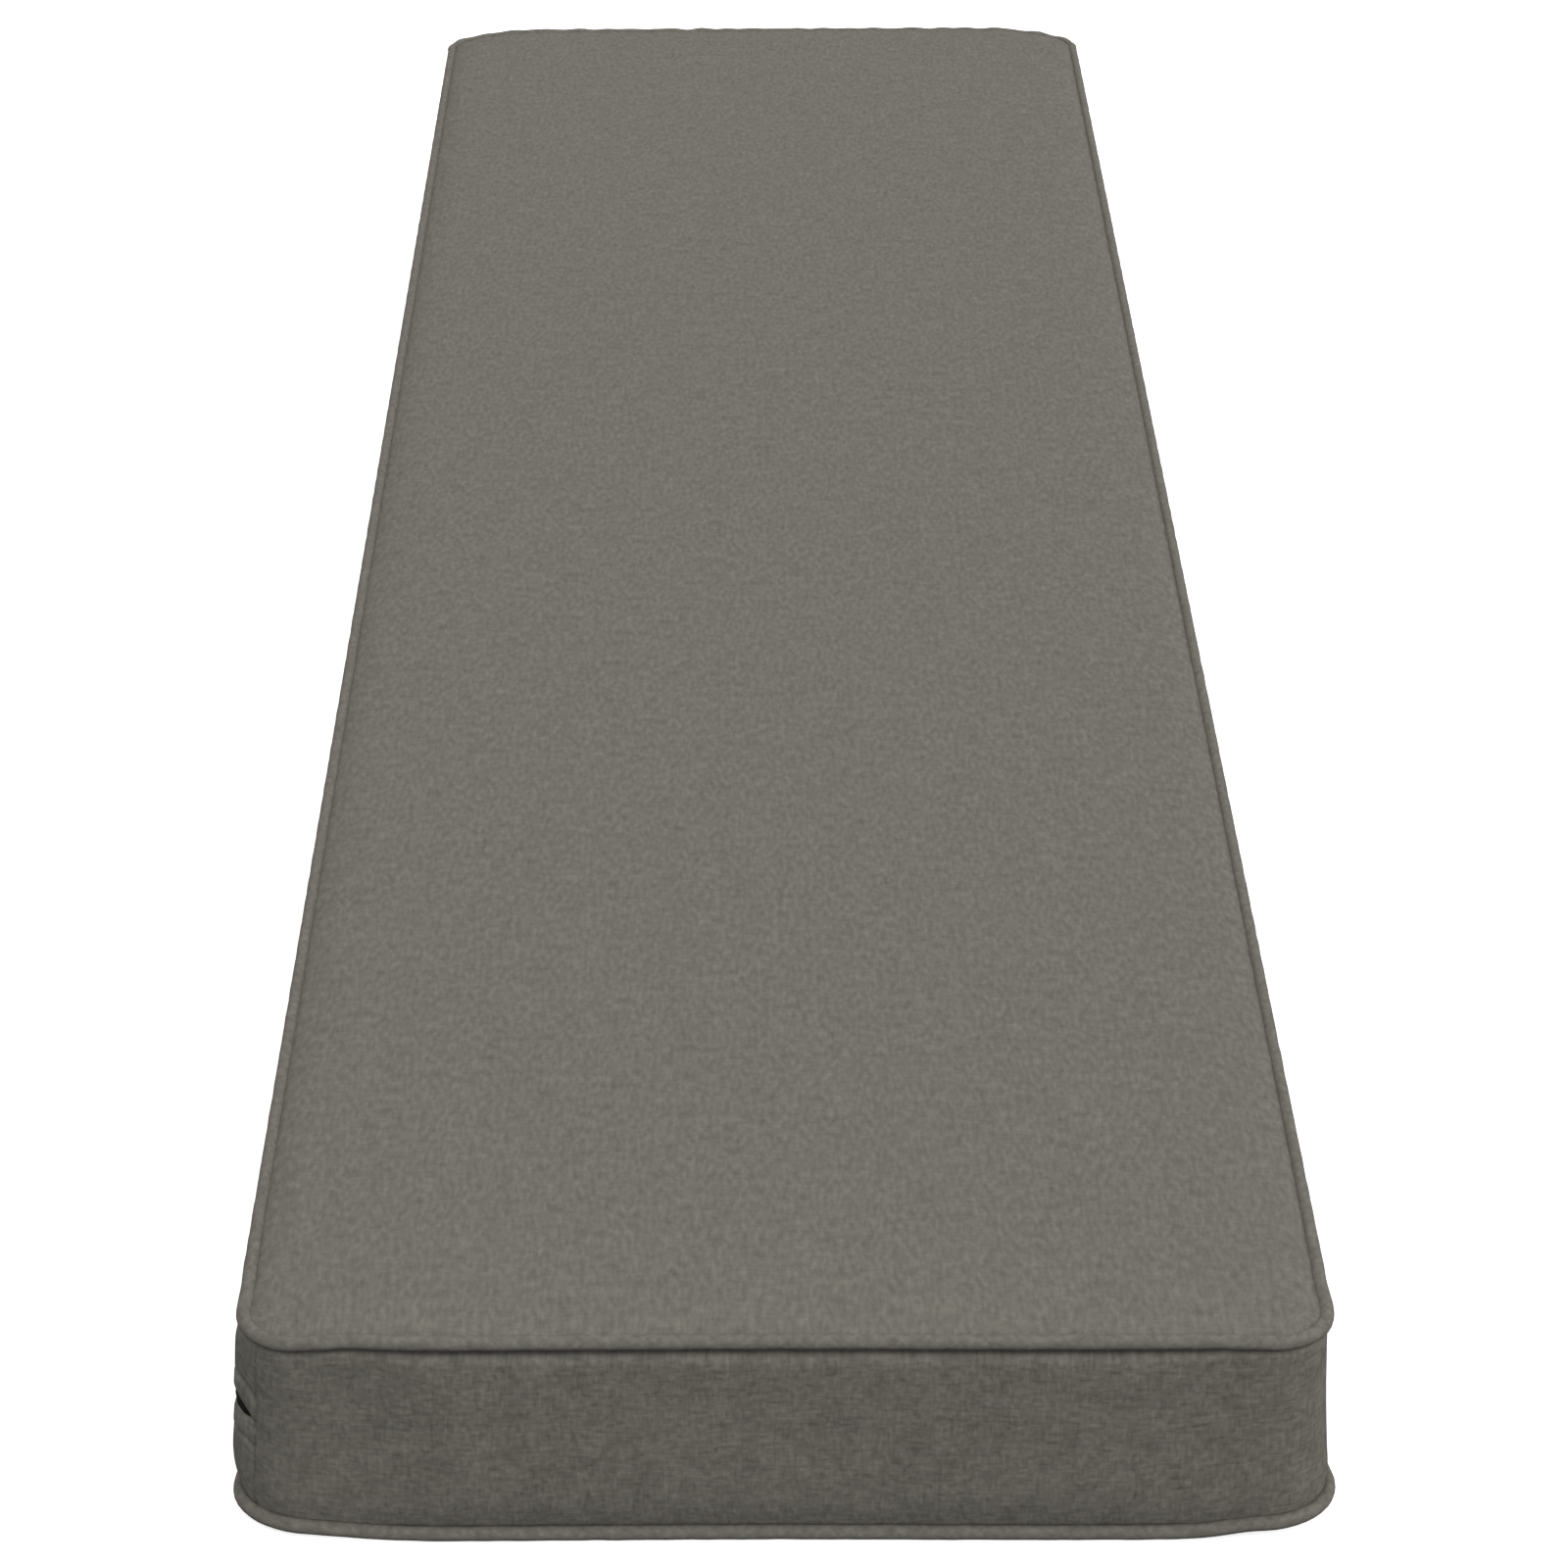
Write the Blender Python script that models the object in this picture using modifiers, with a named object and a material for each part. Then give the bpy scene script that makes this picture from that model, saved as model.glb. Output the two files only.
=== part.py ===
"""Bench cushion: a long boxed cushion with welted edges and a zip along its left side.

The cushion lies on its underside. X runs across it, Y along it from the near end to the far end,
Z up, and the origin is at the middle of its underside. Every piece is first laid out on a plain
boxed block whose outline is the top seam line, and shaped() then moves its points to where the
sewing and the filling put them, so that neighbours stay a fixed clearance apart.
"""

import math
from collections import namedtuple

import bmesh
import bpy
from mathutils import Vector

# Driving dimensions, in metres
LENGTH = 1.524              # over the bottom welt
WIDTH = 0.457               # over the bottom welt
SEAM_SPACING = 0.0952       # from the bottom seam line up to the top one
WELT_RADIUS = 0.0028        # covered cord
CORNER_RADIUS = 0.0245      # of the top seam line, in plan
FOOT_SPREAD = 0.005         # the bottom seam line lies this far outside the top one
SHEET = 0.002               # cover cloth with its backing
CLEARANCE = 0.0003          # between pieces that touch

# The crown of the top panel: a quick shoulder next to the welt, then a slow swell
SHOULDER_RISE = 0.004
SHOULDER_REACH = 0.007
SWELL_RISE = 0.005
SWELL_REACH = 0.060

# The zip, down from the top seam line
SLIT_BELOW = 0.0445         # middle of the slit
SLIT_HALF_GAP = 0.001       # half the slit, along the side
SLIT_END_HALF_GAP = 0.0005  # half the slit where it closes at the upright seam
SLIT_GAPE = 0.0015          # extra half gap where the slit goes round the corner
GAPE_PLACE = 0.022          # from the upright seam, along the strip
GAPE_REACH = 0.030
STITCH_FROM_SLIT = 0.0135   # topstitching that holds the folded edge to the tape
STITCH_DIP = 0.001
STITCH_SPREAD = 0.0035      # from the topstitching to the full cloth on both sides of it
FOLD_DIP = 0.001            # the folded edge rolls in towards the tape
LIP_BACK = 0.0030           # from the folded edge to the full cloth
TAPE_WIDTH = 0.028
TAPE_THICKNESS = 0.0012
STRIP_EASE = 0.020          # length over which a strip grows from the band's line to its own
STRIP_END_GAP = 0.0008      # from the upright seam to the strip's end
BODY_STEP_GAP = 0.0004      # from the upright seam to where the body steps back

# Reach of the corner shapes, along the seam line from the middle of the corner
BAND_REACH = 0.085
DIP_REACH = 0.052
TUCK_REACH = 0.077
EAR_REACH = 0.050

# Reach of the corner shapes and of the foot's spread into the cushion
HOLD_REACH = 0.085
SPREAD_REACH = 0.120

# Steps of the faceted shapes
CORNER_STEPS = 8
EDGE_RINGS = (0.0031, 0.0055, 0.009, 0.0135, 0.019)    # inside the seam line, for the crown
FLAT_RINGS = (0.0031, 0.019)                           # the same, for the underside
SIDE_STATIONS = (0.0, 0.014, 0.034, 0.064, 0.110, 0.190, 0.320, 0.500)  # in from a corner's end
END_STATIONS = (0.0, 0.014, 0.034, 0.064, 0.110)
FLAT_STATIONS = (0.0, 0.014, 0.034, 0.064, 0.110)

# Worked out from the dimensions above
BOTTOM_SEAM_HEIGHT = WELT_RADIUS + CLEARANCE
TOP_SEAM_HEIGHT = BOTTOM_SEAM_HEIGHT + SEAM_SPACING
SEAM_HALF_WIDTH = WIDTH / 2 - WELT_RADIUS - FOOT_SPREAD
SEAM_HALF_LENGTH = LENGTH / 2 - WELT_RADIUS - FOOT_SPREAD
PANEL_EDGE = WELT_RADIUS + CLEARANCE
PANEL_TOP_HEIGHT = TOP_SEAM_HEIGHT + SHEET / 2
BODY_CLEARANCE = 0.00035    # under and over the panels, whose facets tilt a little
BODY_EDGE_SEAT = 0.0016     # from the top seam line down to the body, at the panel's edge
BODY_EDGE_HEIGHT = TOP_SEAM_HEIGHT - BODY_EDGE_SEAT
BODY_BOTTOM_HEIGHT = SHEET + BODY_CLEARANCE
STRIP_BACKING = 0.0030      # from a strip's outer face, which slopes, to the body behind it
TAPE_SLACK = 0.0005         # behind the dips of the topstitching
TAPE_BACK = SHEET + STITCH_DIP + TAPE_SLACK            # from a strip's outer face to the tape
GROOVE_DEPTH = TAPE_BACK + TAPE_THICKNESS + 2 * CLEARANCE
GROOVE_MARGIN = 0.0015      # from the tape's edge to the groove's wall
GROOVE_HALF_WIDTH = TAPE_WIDTH / 2 + GROOVE_MARGIN
GROOVE_WALL = 0.001         # height over which the groove's wall runs in
MID_CORNER = math.pi / 4
ON_SEAM_LINE = 0.0001
NORMAL_STEP = 0.0005        # between the points that give the way out of a curved face

# At each corner: how far the top seam dips, the bottom one lifts, the end is tucked in, and the
# corner stands out sideways at the top and at the foot
Corner = namedtuple("Corner", "name side end dip lift tuck ear foot_ear")
CORNERS = (
    Corner("near left", -1, -1, dip=0.0038, lift=0.0031, tuck=0.0042, ear=0.0018, foot_ear=0.0034),
    Corner("near right", 1, -1, dip=0.0016, lift=0.0036, tuck=0.0004, ear=0.0022, foot_ear=0.0034),
    Corner("far right", 1, 1, dip=0.0032, lift=0.0030, tuck=0.0023, ear=0.0008, foot_ear=0.0030),
    Corner("far left", -1, 1, dip=0.0025, lift=0.0030, tuck=0.0018, ear=0.0014, foot_ear=0.0034),
)

# How far the sides stand out from the seam line at each height below the top seam
Level = namedtuple("Level", "name below side corner zip")
LEVELS = (
    Level("under the top welt", 0.0034, side=-0.0008, corner=-0.0008, zip=-0.0009),
    Level("shoulder", 0.0080, side=0.0003, corner=-0.0005, zip=0.0011),
    Level("upper belly", 0.0170, side=0.0011, corner=-0.0008, zip=0.0031),
    Level("middle", SLIT_BELOW, side=0.0019, corner=-0.0012, zip=0.0033),
    Level("lower belly", 0.0700, side=0.0015, corner=-0.0010, zip=0.0039),
    Level("foot", 0.0850, side=0.0007, corner=-0.0002, zip=0.0024),
    Level("over the bottom welt", 0.0918, side=-0.0006, corner=-0.0003, zip=-0.0006),
)

# The body's rim under the top welt and over the bottom one, where it is cut back round the cord
Seat = namedtuple("Seat", "name below out")
SEATS = (
    Seat("top rim", 0.0025, -0.0025),
    Seat("bottom seat", SEAM_SPACING - 0.0026, -0.0019),
    Seat("bottom rim", SEAM_SPACING - 0.0009, -0.0030),
)

# Rows of the two zip strips: the last figure is how far the row moves with the edge of the slit
Row = namedtuple("Row", "name below dip with_slit")
UPPER_STRIP = (
    Row("seam", LEVELS[0].below, 0.0, 0.0),
    Row("shoulder", LEVELS[1].below, 0.0, 0.0),
    Row("belly", LEVELS[2].below, 0.0, 0.0),
    Row("above the stitching", SLIT_BELOW - STITCH_FROM_SLIT - STITCH_SPREAD, 0.0, 0.0),
    Row("stitching", SLIT_BELOW - STITCH_FROM_SLIT, STITCH_DIP, 0.0),
    Row("below the stitching", SLIT_BELOW - STITCH_FROM_SLIT + STITCH_SPREAD, 0.0, 0.0),
    Row("lip", SLIT_BELOW - LIP_BACK, 0.0, -1.0),
    Row("folded edge", SLIT_BELOW, FOLD_DIP, -1.0),
)
LOWER_STRIP = (
    Row("folded edge", SLIT_BELOW, FOLD_DIP, 1.0),
    Row("lip", SLIT_BELOW + LIP_BACK, 0.0, 1.0),
    Row("above the stitching", SLIT_BELOW + STITCH_FROM_SLIT - STITCH_SPREAD, 0.0, 0.0),
    Row("stitching", SLIT_BELOW + STITCH_FROM_SLIT, STITCH_DIP, 0.0),
    Row("below the stitching", SLIT_BELOW + STITCH_FROM_SLIT + STITCH_SPREAD, 0.0, 0.0),
    Row("belly", LEVELS[4].below, 0.0, 0.0),
    Row("foot", LEVELS[5].below, 0.0, 0.0),
    Row("seam", LEVELS[6].below, 0.0, 0.0),
)

# Colours as seen on the cloth, in sRGB steps of 255
PANEL_COLOUR = (117, 114, 107)
BAND_COLOUR = (96, 93, 86)
WELT_COLOUR = (112, 109, 102)
TAPE_COLOUR = (22, 20, 16)
CLOTH_ROUGHNESS = 0.92
TAPE_ROUGHNESS = 0.75


def smooth_fall(distance, reach):
    """1 at no distance, easing down to 0 at the reach and beyond."""
    share = min(max(1.0 - distance / reach, 0.0), 1.0)
    return share * share * (3.0 - 2.0 * share)


def bump(distance, place, reach):
    """1 at the place, easing down to 0 at the reach on both sides of it."""
    return smooth_fall(abs(distance - place), reach)


def blend(first, second, share):
    return first + (second - first) * share


def seam_line(x, y):
    """How far a point lies inside the top seam line in plan, and the way out there."""
    past_x = abs(x) - (SEAM_HALF_WIDTH - CORNER_RADIUS)
    past_y = abs(y) - (SEAM_HALF_LENGTH - CORNER_RADIUS)
    if past_x > 0.0 and past_y > 0.0:
        reach = math.hypot(past_x, past_y)
        outward = Vector((math.copysign(past_x, x), math.copysign(past_y, y))) / reach
        return CORNER_RADIUS - reach, outward
    if past_x > past_y:
        return CORNER_RADIUS - past_x, Vector((math.copysign(1.0, x), 0.0))
    return CORNER_RADIUS - past_y, Vector((0.0, math.copysign(1.0, y)))


def corner_centre(corner):
    """Centre of the corner's arc."""
    return Vector((
        corner.side * (SEAM_HALF_WIDTH - CORNER_RADIUS),
        corner.end * (SEAM_HALF_LENGTH - CORNER_RADIUS),
    ))


def corner_diagonal(corner):
    """The way out through the middle of the corner."""
    return Vector((corner.side, corner.end)).normalized()


def corner_middle(corner):
    """Middle of the corner's arc, on the seam line."""
    return corner_centre(corner) + corner_diagonal(corner) * CORNER_RADIUS


def crown(x, y, inside):
    """Rise of the top panel over its own edge."""
    from_edge = max(inside - PANEL_EDGE, 0.0)
    shoulder = 1.0 - math.exp(-from_edge / SHOULDER_REACH)
    across = 1.0 - math.exp(-max(SEAM_HALF_WIDTH - abs(x), 0.0) / SWELL_REACH)
    along = 1.0 - math.exp(-max(SEAM_HALF_LENGTH - abs(y), 0.0) / SWELL_REACH)
    return shoulder * (SHOULDER_RISE + SWELL_RISE * across * along)


def shaped(point):
    """Where a point of the plain boxed block lies on the sewn and filled cushion."""
    inside, outward = seam_line(point.x, point.y)
    flat = Vector((point.x, point.y))
    seam_foot = flat + outward * inside
    depth = max(inside, 0.0)
    height = min(max((point.z - BOTTOM_SEAM_HEIGHT) / SEAM_SPACING, 0.0), 1.0)
    hold = smooth_fall(depth, HOLD_REACH)
    moved = flat + outward * FOOT_SPREAD * (1.0 - height) * smooth_fall(depth, SPREAD_REACH)
    rise = crown(point.x, point.y, inside) * height
    for corner in CORNERS:
        along = (seam_foot - corner_middle(corner)).length
        rise += hold * smooth_fall(along, DIP_REACH) * blend(corner.lift, -corner.dip, height)
        ear = blend(corner.foot_ear, corner.ear, height) * smooth_fall(along, EAR_REACH)
        tuck = corner.tuck * smooth_fall(along, TUCK_REACH)
        moved = moved + Vector((corner.side * ear, -corner.end * tuck)) * hold
    return Vector((moved.x, moved.y, point.z + rise))


def under_panel(x, y, depth):
    """A point this deep under the top panel's outer face, square to it."""
    step = NORMAL_STEP
    face = [
        shaped(Vector((x + move_x, y + move_y, PANEL_TOP_HEIGHT)))
        for move_x, move_y in ((0.0, 0.0), (step, 0.0), (-step, 0.0), (0.0, step), (0.0, -step))
    ]
    normal = (face[1] - face[2]).cross(face[3] - face[4]).normalized()
    return face[0] - normal * depth


def level_out(below, column):
    """How far a side stands out at a height, read from one column of LEVELS."""
    for upper, lower in zip(LEVELS, LEVELS[1:]):
        if below <= lower.below:
            share = max(below - upper.below, 0.0) / (lower.below - upper.below)
            return blend(getattr(upper, column), getattr(lower, column), share)
    return getattr(LEVELS[-1], column)


def band_out(x, y, below):
    """How far the boxing band stands out, drawn in towards the corners."""
    inside, outward = seam_line(x, y)
    seam_foot = Vector((x, y)) + outward * inside
    nearest = min((seam_foot - corner_middle(corner)).length for corner in CORNERS)
    side = level_out(below, "side")
    return blend(side, level_out(below, "corner"), smooth_fall(nearest, BAND_REACH))


def strip_out(below, along):
    """How far a zip strip stands out, growing from the band's line at the upright seam."""
    return blend(level_out(below, "zip"), level_out(below, "corner"), smooth_fall(along, STRIP_EASE))


def behind_stitching(along, depth):
    """How far the flat zip tape, or the groove behind it, stands out."""
    return strip_out(SLIT_BELOW - STITCH_FROM_SLIT, along) - depth


def along_zip(x, y):
    """Distance along the left side from its nearer upright seam, below 0 off the zip's stretch."""
    if x > 0.0:
        return -1.0
    past_x = -x - (SEAM_HALF_WIDTH - CORNER_RADIUS)
    past_y = abs(y) - (SEAM_HALF_LENGTH - CORNER_RADIUS)
    if past_x <= 0.0:
        return -1.0
    if past_y <= 0.0:
        return CORNER_RADIUS * MID_CORNER - past_y
    return CORNER_RADIUS * (MID_CORNER - math.atan2(past_y, past_x))


def mirrored(stations, half):
    """Stations in from both ends of a side whose half length is given, and its middle."""
    positive = [half - station for station in stations]
    return sorted([-place for place in positive] + [0.0] + positive)


def material(name, colour, roughness):
    """A matt finish from a colour in sRGB steps."""
    made = bpy.data.materials.new(name)
    made.use_nodes = True
    shader = made.node_tree.nodes["Principled BSDF"]
    linear = [((step / 255 + 0.055) / 1.055) ** 2.4 for step in colour]
    shader.inputs["Base Color"].default_value = (*linear, 1.0)
    shader.inputs["Roughness"].default_value = roughness
    shader.inputs["Metallic"].default_value = 0.0
    return made


def add_object(name, data, collection, colour, roughness):
    """Link one named piece with its own material."""
    piece = bpy.data.objects.new(name, data)
    data.materials.append(material(name, colour, roughness))
    collection.objects.link(piece)
    return piece


def finished_mesh(name, bm, crease_degrees=40.0):
    """Turn an edit mesh into a smooth-shaded mesh that keeps its real edges."""
    data = bpy.data.meshes.new(name)
    bm.to_mesh(data)
    bm.free()
    data.shade_smooth()
    data.set_sharp_from_angle(angle=math.radians(crease_degrees))
    return data


def rounded_block(bm, inset, low, high):
    """A box with the seam line's rounded corners, set in from that line."""
    bmesh.ops.create_cube(bm, size=1.0)
    size = Vector((2 * (SEAM_HALF_WIDTH - inset), 2 * (SEAM_HALF_LENGTH - inset), high - low))
    bmesh.ops.scale(bm, vec=size, verts=bm.verts)
    bmesh.ops.translate(bm, vec=(0.0, 0.0, (low + high) / 2), verts=bm.verts)
    middle = (low + high) / 2
    upright = [
        edge for edge in bm.edges
        if min(end.co.z for end in edge.verts) < middle < max(end.co.z for end in edge.verts)
    ]
    bmesh.ops.bevel(
        bm, geom=upright, affect="EDGES", offset=CORNER_RADIUS - inset, offset_type="OFFSET",
        segments=CORNER_STEPS, profile=0.5, clamp_overlap=False,
    )


def ring_face(bm, face, start, rings):
    """Inset one flat face at each ring's distance inside the seam line."""
    place = start
    for ring in rings:
        if ring > place:
            bmesh.ops.inset_region(
                bm, faces=[face], thickness=ring - place, use_even_offset=True, use_boundary=True,
            )
            place = ring


def cut_across(bm, stations, axis):
    """Cut the mesh at each station along one axis."""
    for station in stations:
        place = Vector((0.0, 0.0, 0.0))
        place[axis] = station
        normal = Vector((0.0, 0.0, 0.0))
        normal[axis] = 1.0
        whole = bm.verts[:] + bm.edges[:] + bm.faces[:]
        bmesh.ops.bisect_plane(bm, geom=whole, dist=1e-6, plane_co=place, plane_no=normal)


def split_quads(bm):
    """Halve each quad from its corner nearest the middle, alike on the pieces that lie together."""
    for face in [face for face in bm.faces if len(face.verts) == 4]:
        corners = list(face.verts)
        nearest = min(range(4), key=lambda index: corners[index].co.xy.length)
        bmesh.utils.face_split(face, corners[nearest], corners[(nearest + 2) % 4])


def panel(name, collection, height, facing, rings, side_stations):
    """A sheet of cover cloth over the whole top or underside, with its cloth on the inner side."""
    bm = bmesh.new()
    rounded_block(bm, PANEL_EDGE, height - SHEET, height + SHEET)
    kept = max(bm.faces, key=lambda face: face.calc_center_median().z * facing)
    bmesh.ops.translate(bm, vec=(0.0, 0.0, height - kept.calc_center_median().z), verts=kept.verts)
    bmesh.ops.delete(bm, geom=[face for face in bm.faces if face is not kept], context="FACES")
    ring_face(bm, bm.faces[:][0], PANEL_EDGE, rings)
    cut_across(bm, mirrored(END_STATIONS, SEAM_HALF_WIDTH - CORNER_RADIUS), 0)
    cut_across(bm, mirrored(side_stations, SEAM_HALF_LENGTH - CORNER_RADIUS), 1)
    split_quads(bm)
    for vertex in bm.verts:
        vertex.co = shaped(vertex.co)
    piece = add_object(name, finished_mesh(name, bm), collection, PANEL_COLOUR, CLOTH_ROUGHNESS)
    thicken(piece, SHEET)
    return piece


def thicken(piece, thickness):
    """Give a sheet its thickness on its inner side."""
    solid = piece.modifiers.new("cloth thickness", "SOLIDIFY")
    solid.thickness = thickness
    solid.offset = -1.0
    solid.use_even_offset = False


def body_row_out(x, y, below):
    """How far the body's side stands out: the band's face, or the recess behind the zip strips."""
    for seat in SEATS:
        if abs(below - seat.below) < ON_SEAM_LINE:
            return seat.out
    along = along_zip(x, y)
    if along < BODY_STEP_GAP / 2:
        return band_out(x, y, below)
    if abs(below - SLIT_BELOW) < GROOVE_HALF_WIDTH + ON_SEAM_LINE:
        return behind_stitching(along, GROOVE_DEPTH)
    return strip_out(below, along) - STRIP_BACKING


def upright_seam_cut(bm, corner):
    """Cut the corner just behind its upright seam, where the body steps back under the strips."""
    centre = corner_centre(corner)
    angle = MID_CORNER - BODY_STEP_GAP / CORNER_RADIUS
    ray = Vector((corner.side * math.cos(angle), corner.end * math.sin(angle)))
    near = []
    for face in bm.faces:
        middle = face.calc_center_median()
        past = Vector((corner.side * (middle.x - centre.x), corner.end * (middle.y - centre.y)))
        if past.x > 0.0 and past.y > 0.0 and abs(math.atan2(past.y, past.x) - angle) < MID_CORNER / 4:
            if past.length > CORNER_RADIUS - EDGE_RINGS[-1]:
                near.append(face)
    edges = {edge for face in near for edge in face.edges}
    verts = {vert for face in near for vert in face.verts}
    bmesh.ops.bisect_plane(
        bm, geom=list(verts) + list(edges) + near, dist=1e-6,
        plane_co=(centre.x, centre.y, 0.0), plane_no=(-ray.y, ray.x, 0.0),
    )


def boxed_body(collection):
    """The one filled solid. Its sides are the boxing band, recessed for the zip strips on the left."""
    top_rim = TOP_SEAM_HEIGHT - SEATS[0].below
    bottom_rim = TOP_SEAM_HEIGHT - SEATS[-1].below
    groove_edges = [
        SLIT_BELOW + way * (GROOVE_HALF_WIDTH + wall)
        for way in (-1, 1)
        for wall in (0.0, GROOVE_WALL)
    ]
    rows = sorted([level.below for level in LEVELS] + groove_edges + [SEATS[1].below])
    bm = bmesh.new()
    rounded_block(bm, 0.0, bottom_rim, top_rim)
    top = max(bm.faces, key=lambda face: face.calc_center_median().z)
    underside = min(bm.faces, key=lambda face: face.calc_center_median().z)
    ring_face(bm, top, 0.0, EDGE_RINGS)
    ring_face(bm, underside, 0.0, FLAT_RINGS)
    cut_across(bm, mirrored(END_STATIONS, SEAM_HALF_WIDTH - CORNER_RADIUS), 0)
    cut_across(bm, mirrored(SIDE_STATIONS, SEAM_HALF_LENGTH - CORNER_RADIUS), 1)
    cut_across(bm, [TOP_SEAM_HEIGHT - below for below in rows], 2)
    for corner in CORNERS:
        if corner.side < 0:
            upright_seam_cut(bm, corner)
    split_quads(bm)
    for vertex in bm.verts:
        x, y, z = vertex.co
        inside, outward = seam_line(x, y)
        if inside < ON_SEAM_LINE:
            out = body_row_out(x, y, TOP_SEAM_HEIGHT - z)
            vertex.co = shaped(Vector((x + outward.x * out, y + outward.y * out, z)))
        elif z < (top_rim + bottom_rim) / 2:
            vertex.co = shaped(Vector((x, y, BODY_BOTTOM_HEIGHT)))
        elif inside < PANEL_EDGE + ON_SEAM_LINE:
            vertex.co = shaped(Vector((x, y, BODY_EDGE_HEIGHT)))
        else:
            vertex.co = under_panel(x, y, SHEET + BODY_CLEARANCE)
    mesh = finished_mesh("boxed_body", bm)
    return add_object("boxed_body", mesh, collection, BAND_COLOUR, CLOTH_ROUGHNESS)


def zip_path(end_gap):
    """Points of the seam line from the near upright seam round the left side to the far one."""
    arc = [MID_CORNER - end_gap / CORNER_RADIUS]
    arc += [MID_CORNER * step / 4 for step in (3, 2, 1)]
    centre_x = -(SEAM_HALF_WIDTH - CORNER_RADIUS)
    centre_y = SEAM_HALF_LENGTH - CORNER_RADIUS
    near = [
        (centre_x - CORNER_RADIUS * math.cos(angle), -centre_y - CORNER_RADIUS * math.sin(angle))
        for angle in arc
    ]
    straight = [(-SEAM_HALF_WIDTH, y) for y in mirrored(SIDE_STATIONS, centre_y)]
    far = [(x, -y) for x, y in reversed(near)]
    return near + straight + far


def strip_sheet(name, collection, path, rows, place, thickness, colour, roughness):
    """A sheet along the zip's path: place(along, row) gives its drop from the seam and its reach."""
    bm = bmesh.new()
    bmesh.ops.create_grid(bm, x_segments=len(path) - 1, y_segments=len(rows) - 1, size=1.0)
    for vertex in bm.verts:
        x, y = path[round((vertex.co.x + 1.0) / 2 * (len(path) - 1))]
        row = rows[round((vertex.co.y + 1.0) / 2 * (len(rows) - 1))]
        below, out = place(along_zip(x, y), row)
        outward = seam_line(x, y)[1]
        vertex.co = shaped(Vector((x + outward.x * out, y + outward.y * out, TOP_SEAM_HEIGHT - below)))
    bm.normal_update()
    if bm.faces[:][len(bm.faces) // 2].normal.x > 0.0:
        bmesh.ops.reverse_faces(bm, faces=bm.faces)
    piece = add_object(name, finished_mesh(name, bm), collection, colour, roughness)
    thicken(piece, thickness)
    return piece


def strip_place(along, row):
    """Drop and reach of a zip strip's row, with the slit opening where it goes round the corner."""
    half_gap = blend(SLIT_HALF_GAP, SLIT_END_HALF_GAP, smooth_fall(along, STRIP_EASE))
    half_gap += SLIT_GAPE * bump(along, GAPE_PLACE, GAPE_REACH) * (1.0 - smooth_fall(along, STRIP_EASE))
    below = row.below + row.with_slit * half_gap
    return below, strip_out(row.below, along) - row.dip


def tape_place(along, below):
    """Drop and reach of the zip tape, flat behind both strips."""
    return below, behind_stitching(along, TAPE_BACK)


def welt(name, collection, seam_height):
    """A covered cord along one seam line, as a closed tube."""
    half_x = SEAM_HALF_WIDTH - CORNER_RADIUS
    half_y = SEAM_HALF_LENGTH - CORNER_RADIUS
    quarter = [math.pi / 2 * step / CORNER_STEPS for step in range(CORNER_STEPS + 1)]
    ends = mirrored(END_STATIONS, half_x)[1:-1]
    sides = mirrored(SIDE_STATIONS, half_y)[1:-1]
    runs = (
        (half_x, half_y, 0.0, [(x, SEAM_HALF_LENGTH) for x in reversed(ends)]),
        (-half_x, half_y, math.pi / 2, [(-SEAM_HALF_WIDTH, y) for y in reversed(sides)]),
        (-half_x, -half_y, math.pi, [(x, -SEAM_HALF_LENGTH) for x in ends]),
        (half_x, -half_y, math.pi * 1.5, [(SEAM_HALF_WIDTH, y) for y in sides]),
    )
    points = []
    for centre_x, centre_y, start, straight in runs:
        for turn in quarter:
            angle = start + turn
            x = centre_x + CORNER_RADIUS * math.cos(angle)
            points.append((x, centre_y + CORNER_RADIUS * math.sin(angle)))
        points += straight
    curve = bpy.data.curves.new(name, "CURVE")
    curve.dimensions = "3D"
    curve.bevel_depth = WELT_RADIUS
    curve.bevel_resolution = 2
    spline = curve.splines.new("POLY")
    spline.points.add(len(points) - 1)
    for control, (x, y) in zip(spline.points, points):
        control.co = (*shaped(Vector((x, y, seam_height))), 1.0)
    spline.use_cyclic_u = True
    spline.use_smooth = True
    return add_object(name, curve, collection, WELT_COLOUR, CLOTH_ROUGHNESS)


def main():
    for old in list(bpy.data.objects):
        bpy.data.objects.remove(old, do_unlink=True)
    cushion = bpy.data.collections.new("bench_cushion")
    bpy.context.scene.collection.children.link(cushion)
    boxed_body(cushion)
    panel("top_panel", cushion, PANEL_TOP_HEIGHT, 1, EDGE_RINGS, SIDE_STATIONS)
    panel("bottom_panel", cushion, 0.0, -1, FLAT_RINGS, FLAT_STATIONS)
    welt("top_welt", cushion, TOP_SEAM_HEIGHT)
    welt("bottom_welt", cushion, BOTTOM_SEAM_HEIGHT)
    strips = (("zip_strip_upper", UPPER_STRIP), ("zip_strip_lower", LOWER_STRIP))
    for name, rows in strips:
        strip_sheet(
            name, cushion, zip_path(STRIP_END_GAP), rows, strip_place, SHEET,
            BAND_COLOUR, CLOTH_ROUGHNESS,
        )
    tape_edges = (SLIT_BELOW - TAPE_WIDTH / 2, SLIT_BELOW + TAPE_WIDTH / 2)
    strip_sheet(
        "zip_tape", cushion, zip_path(STRIP_END_GAP * 2), tape_edges, tape_place, TAPE_THICKNESS,
        TAPE_COLOUR, TAPE_ROUGHNESS,
    )


main()
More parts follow.
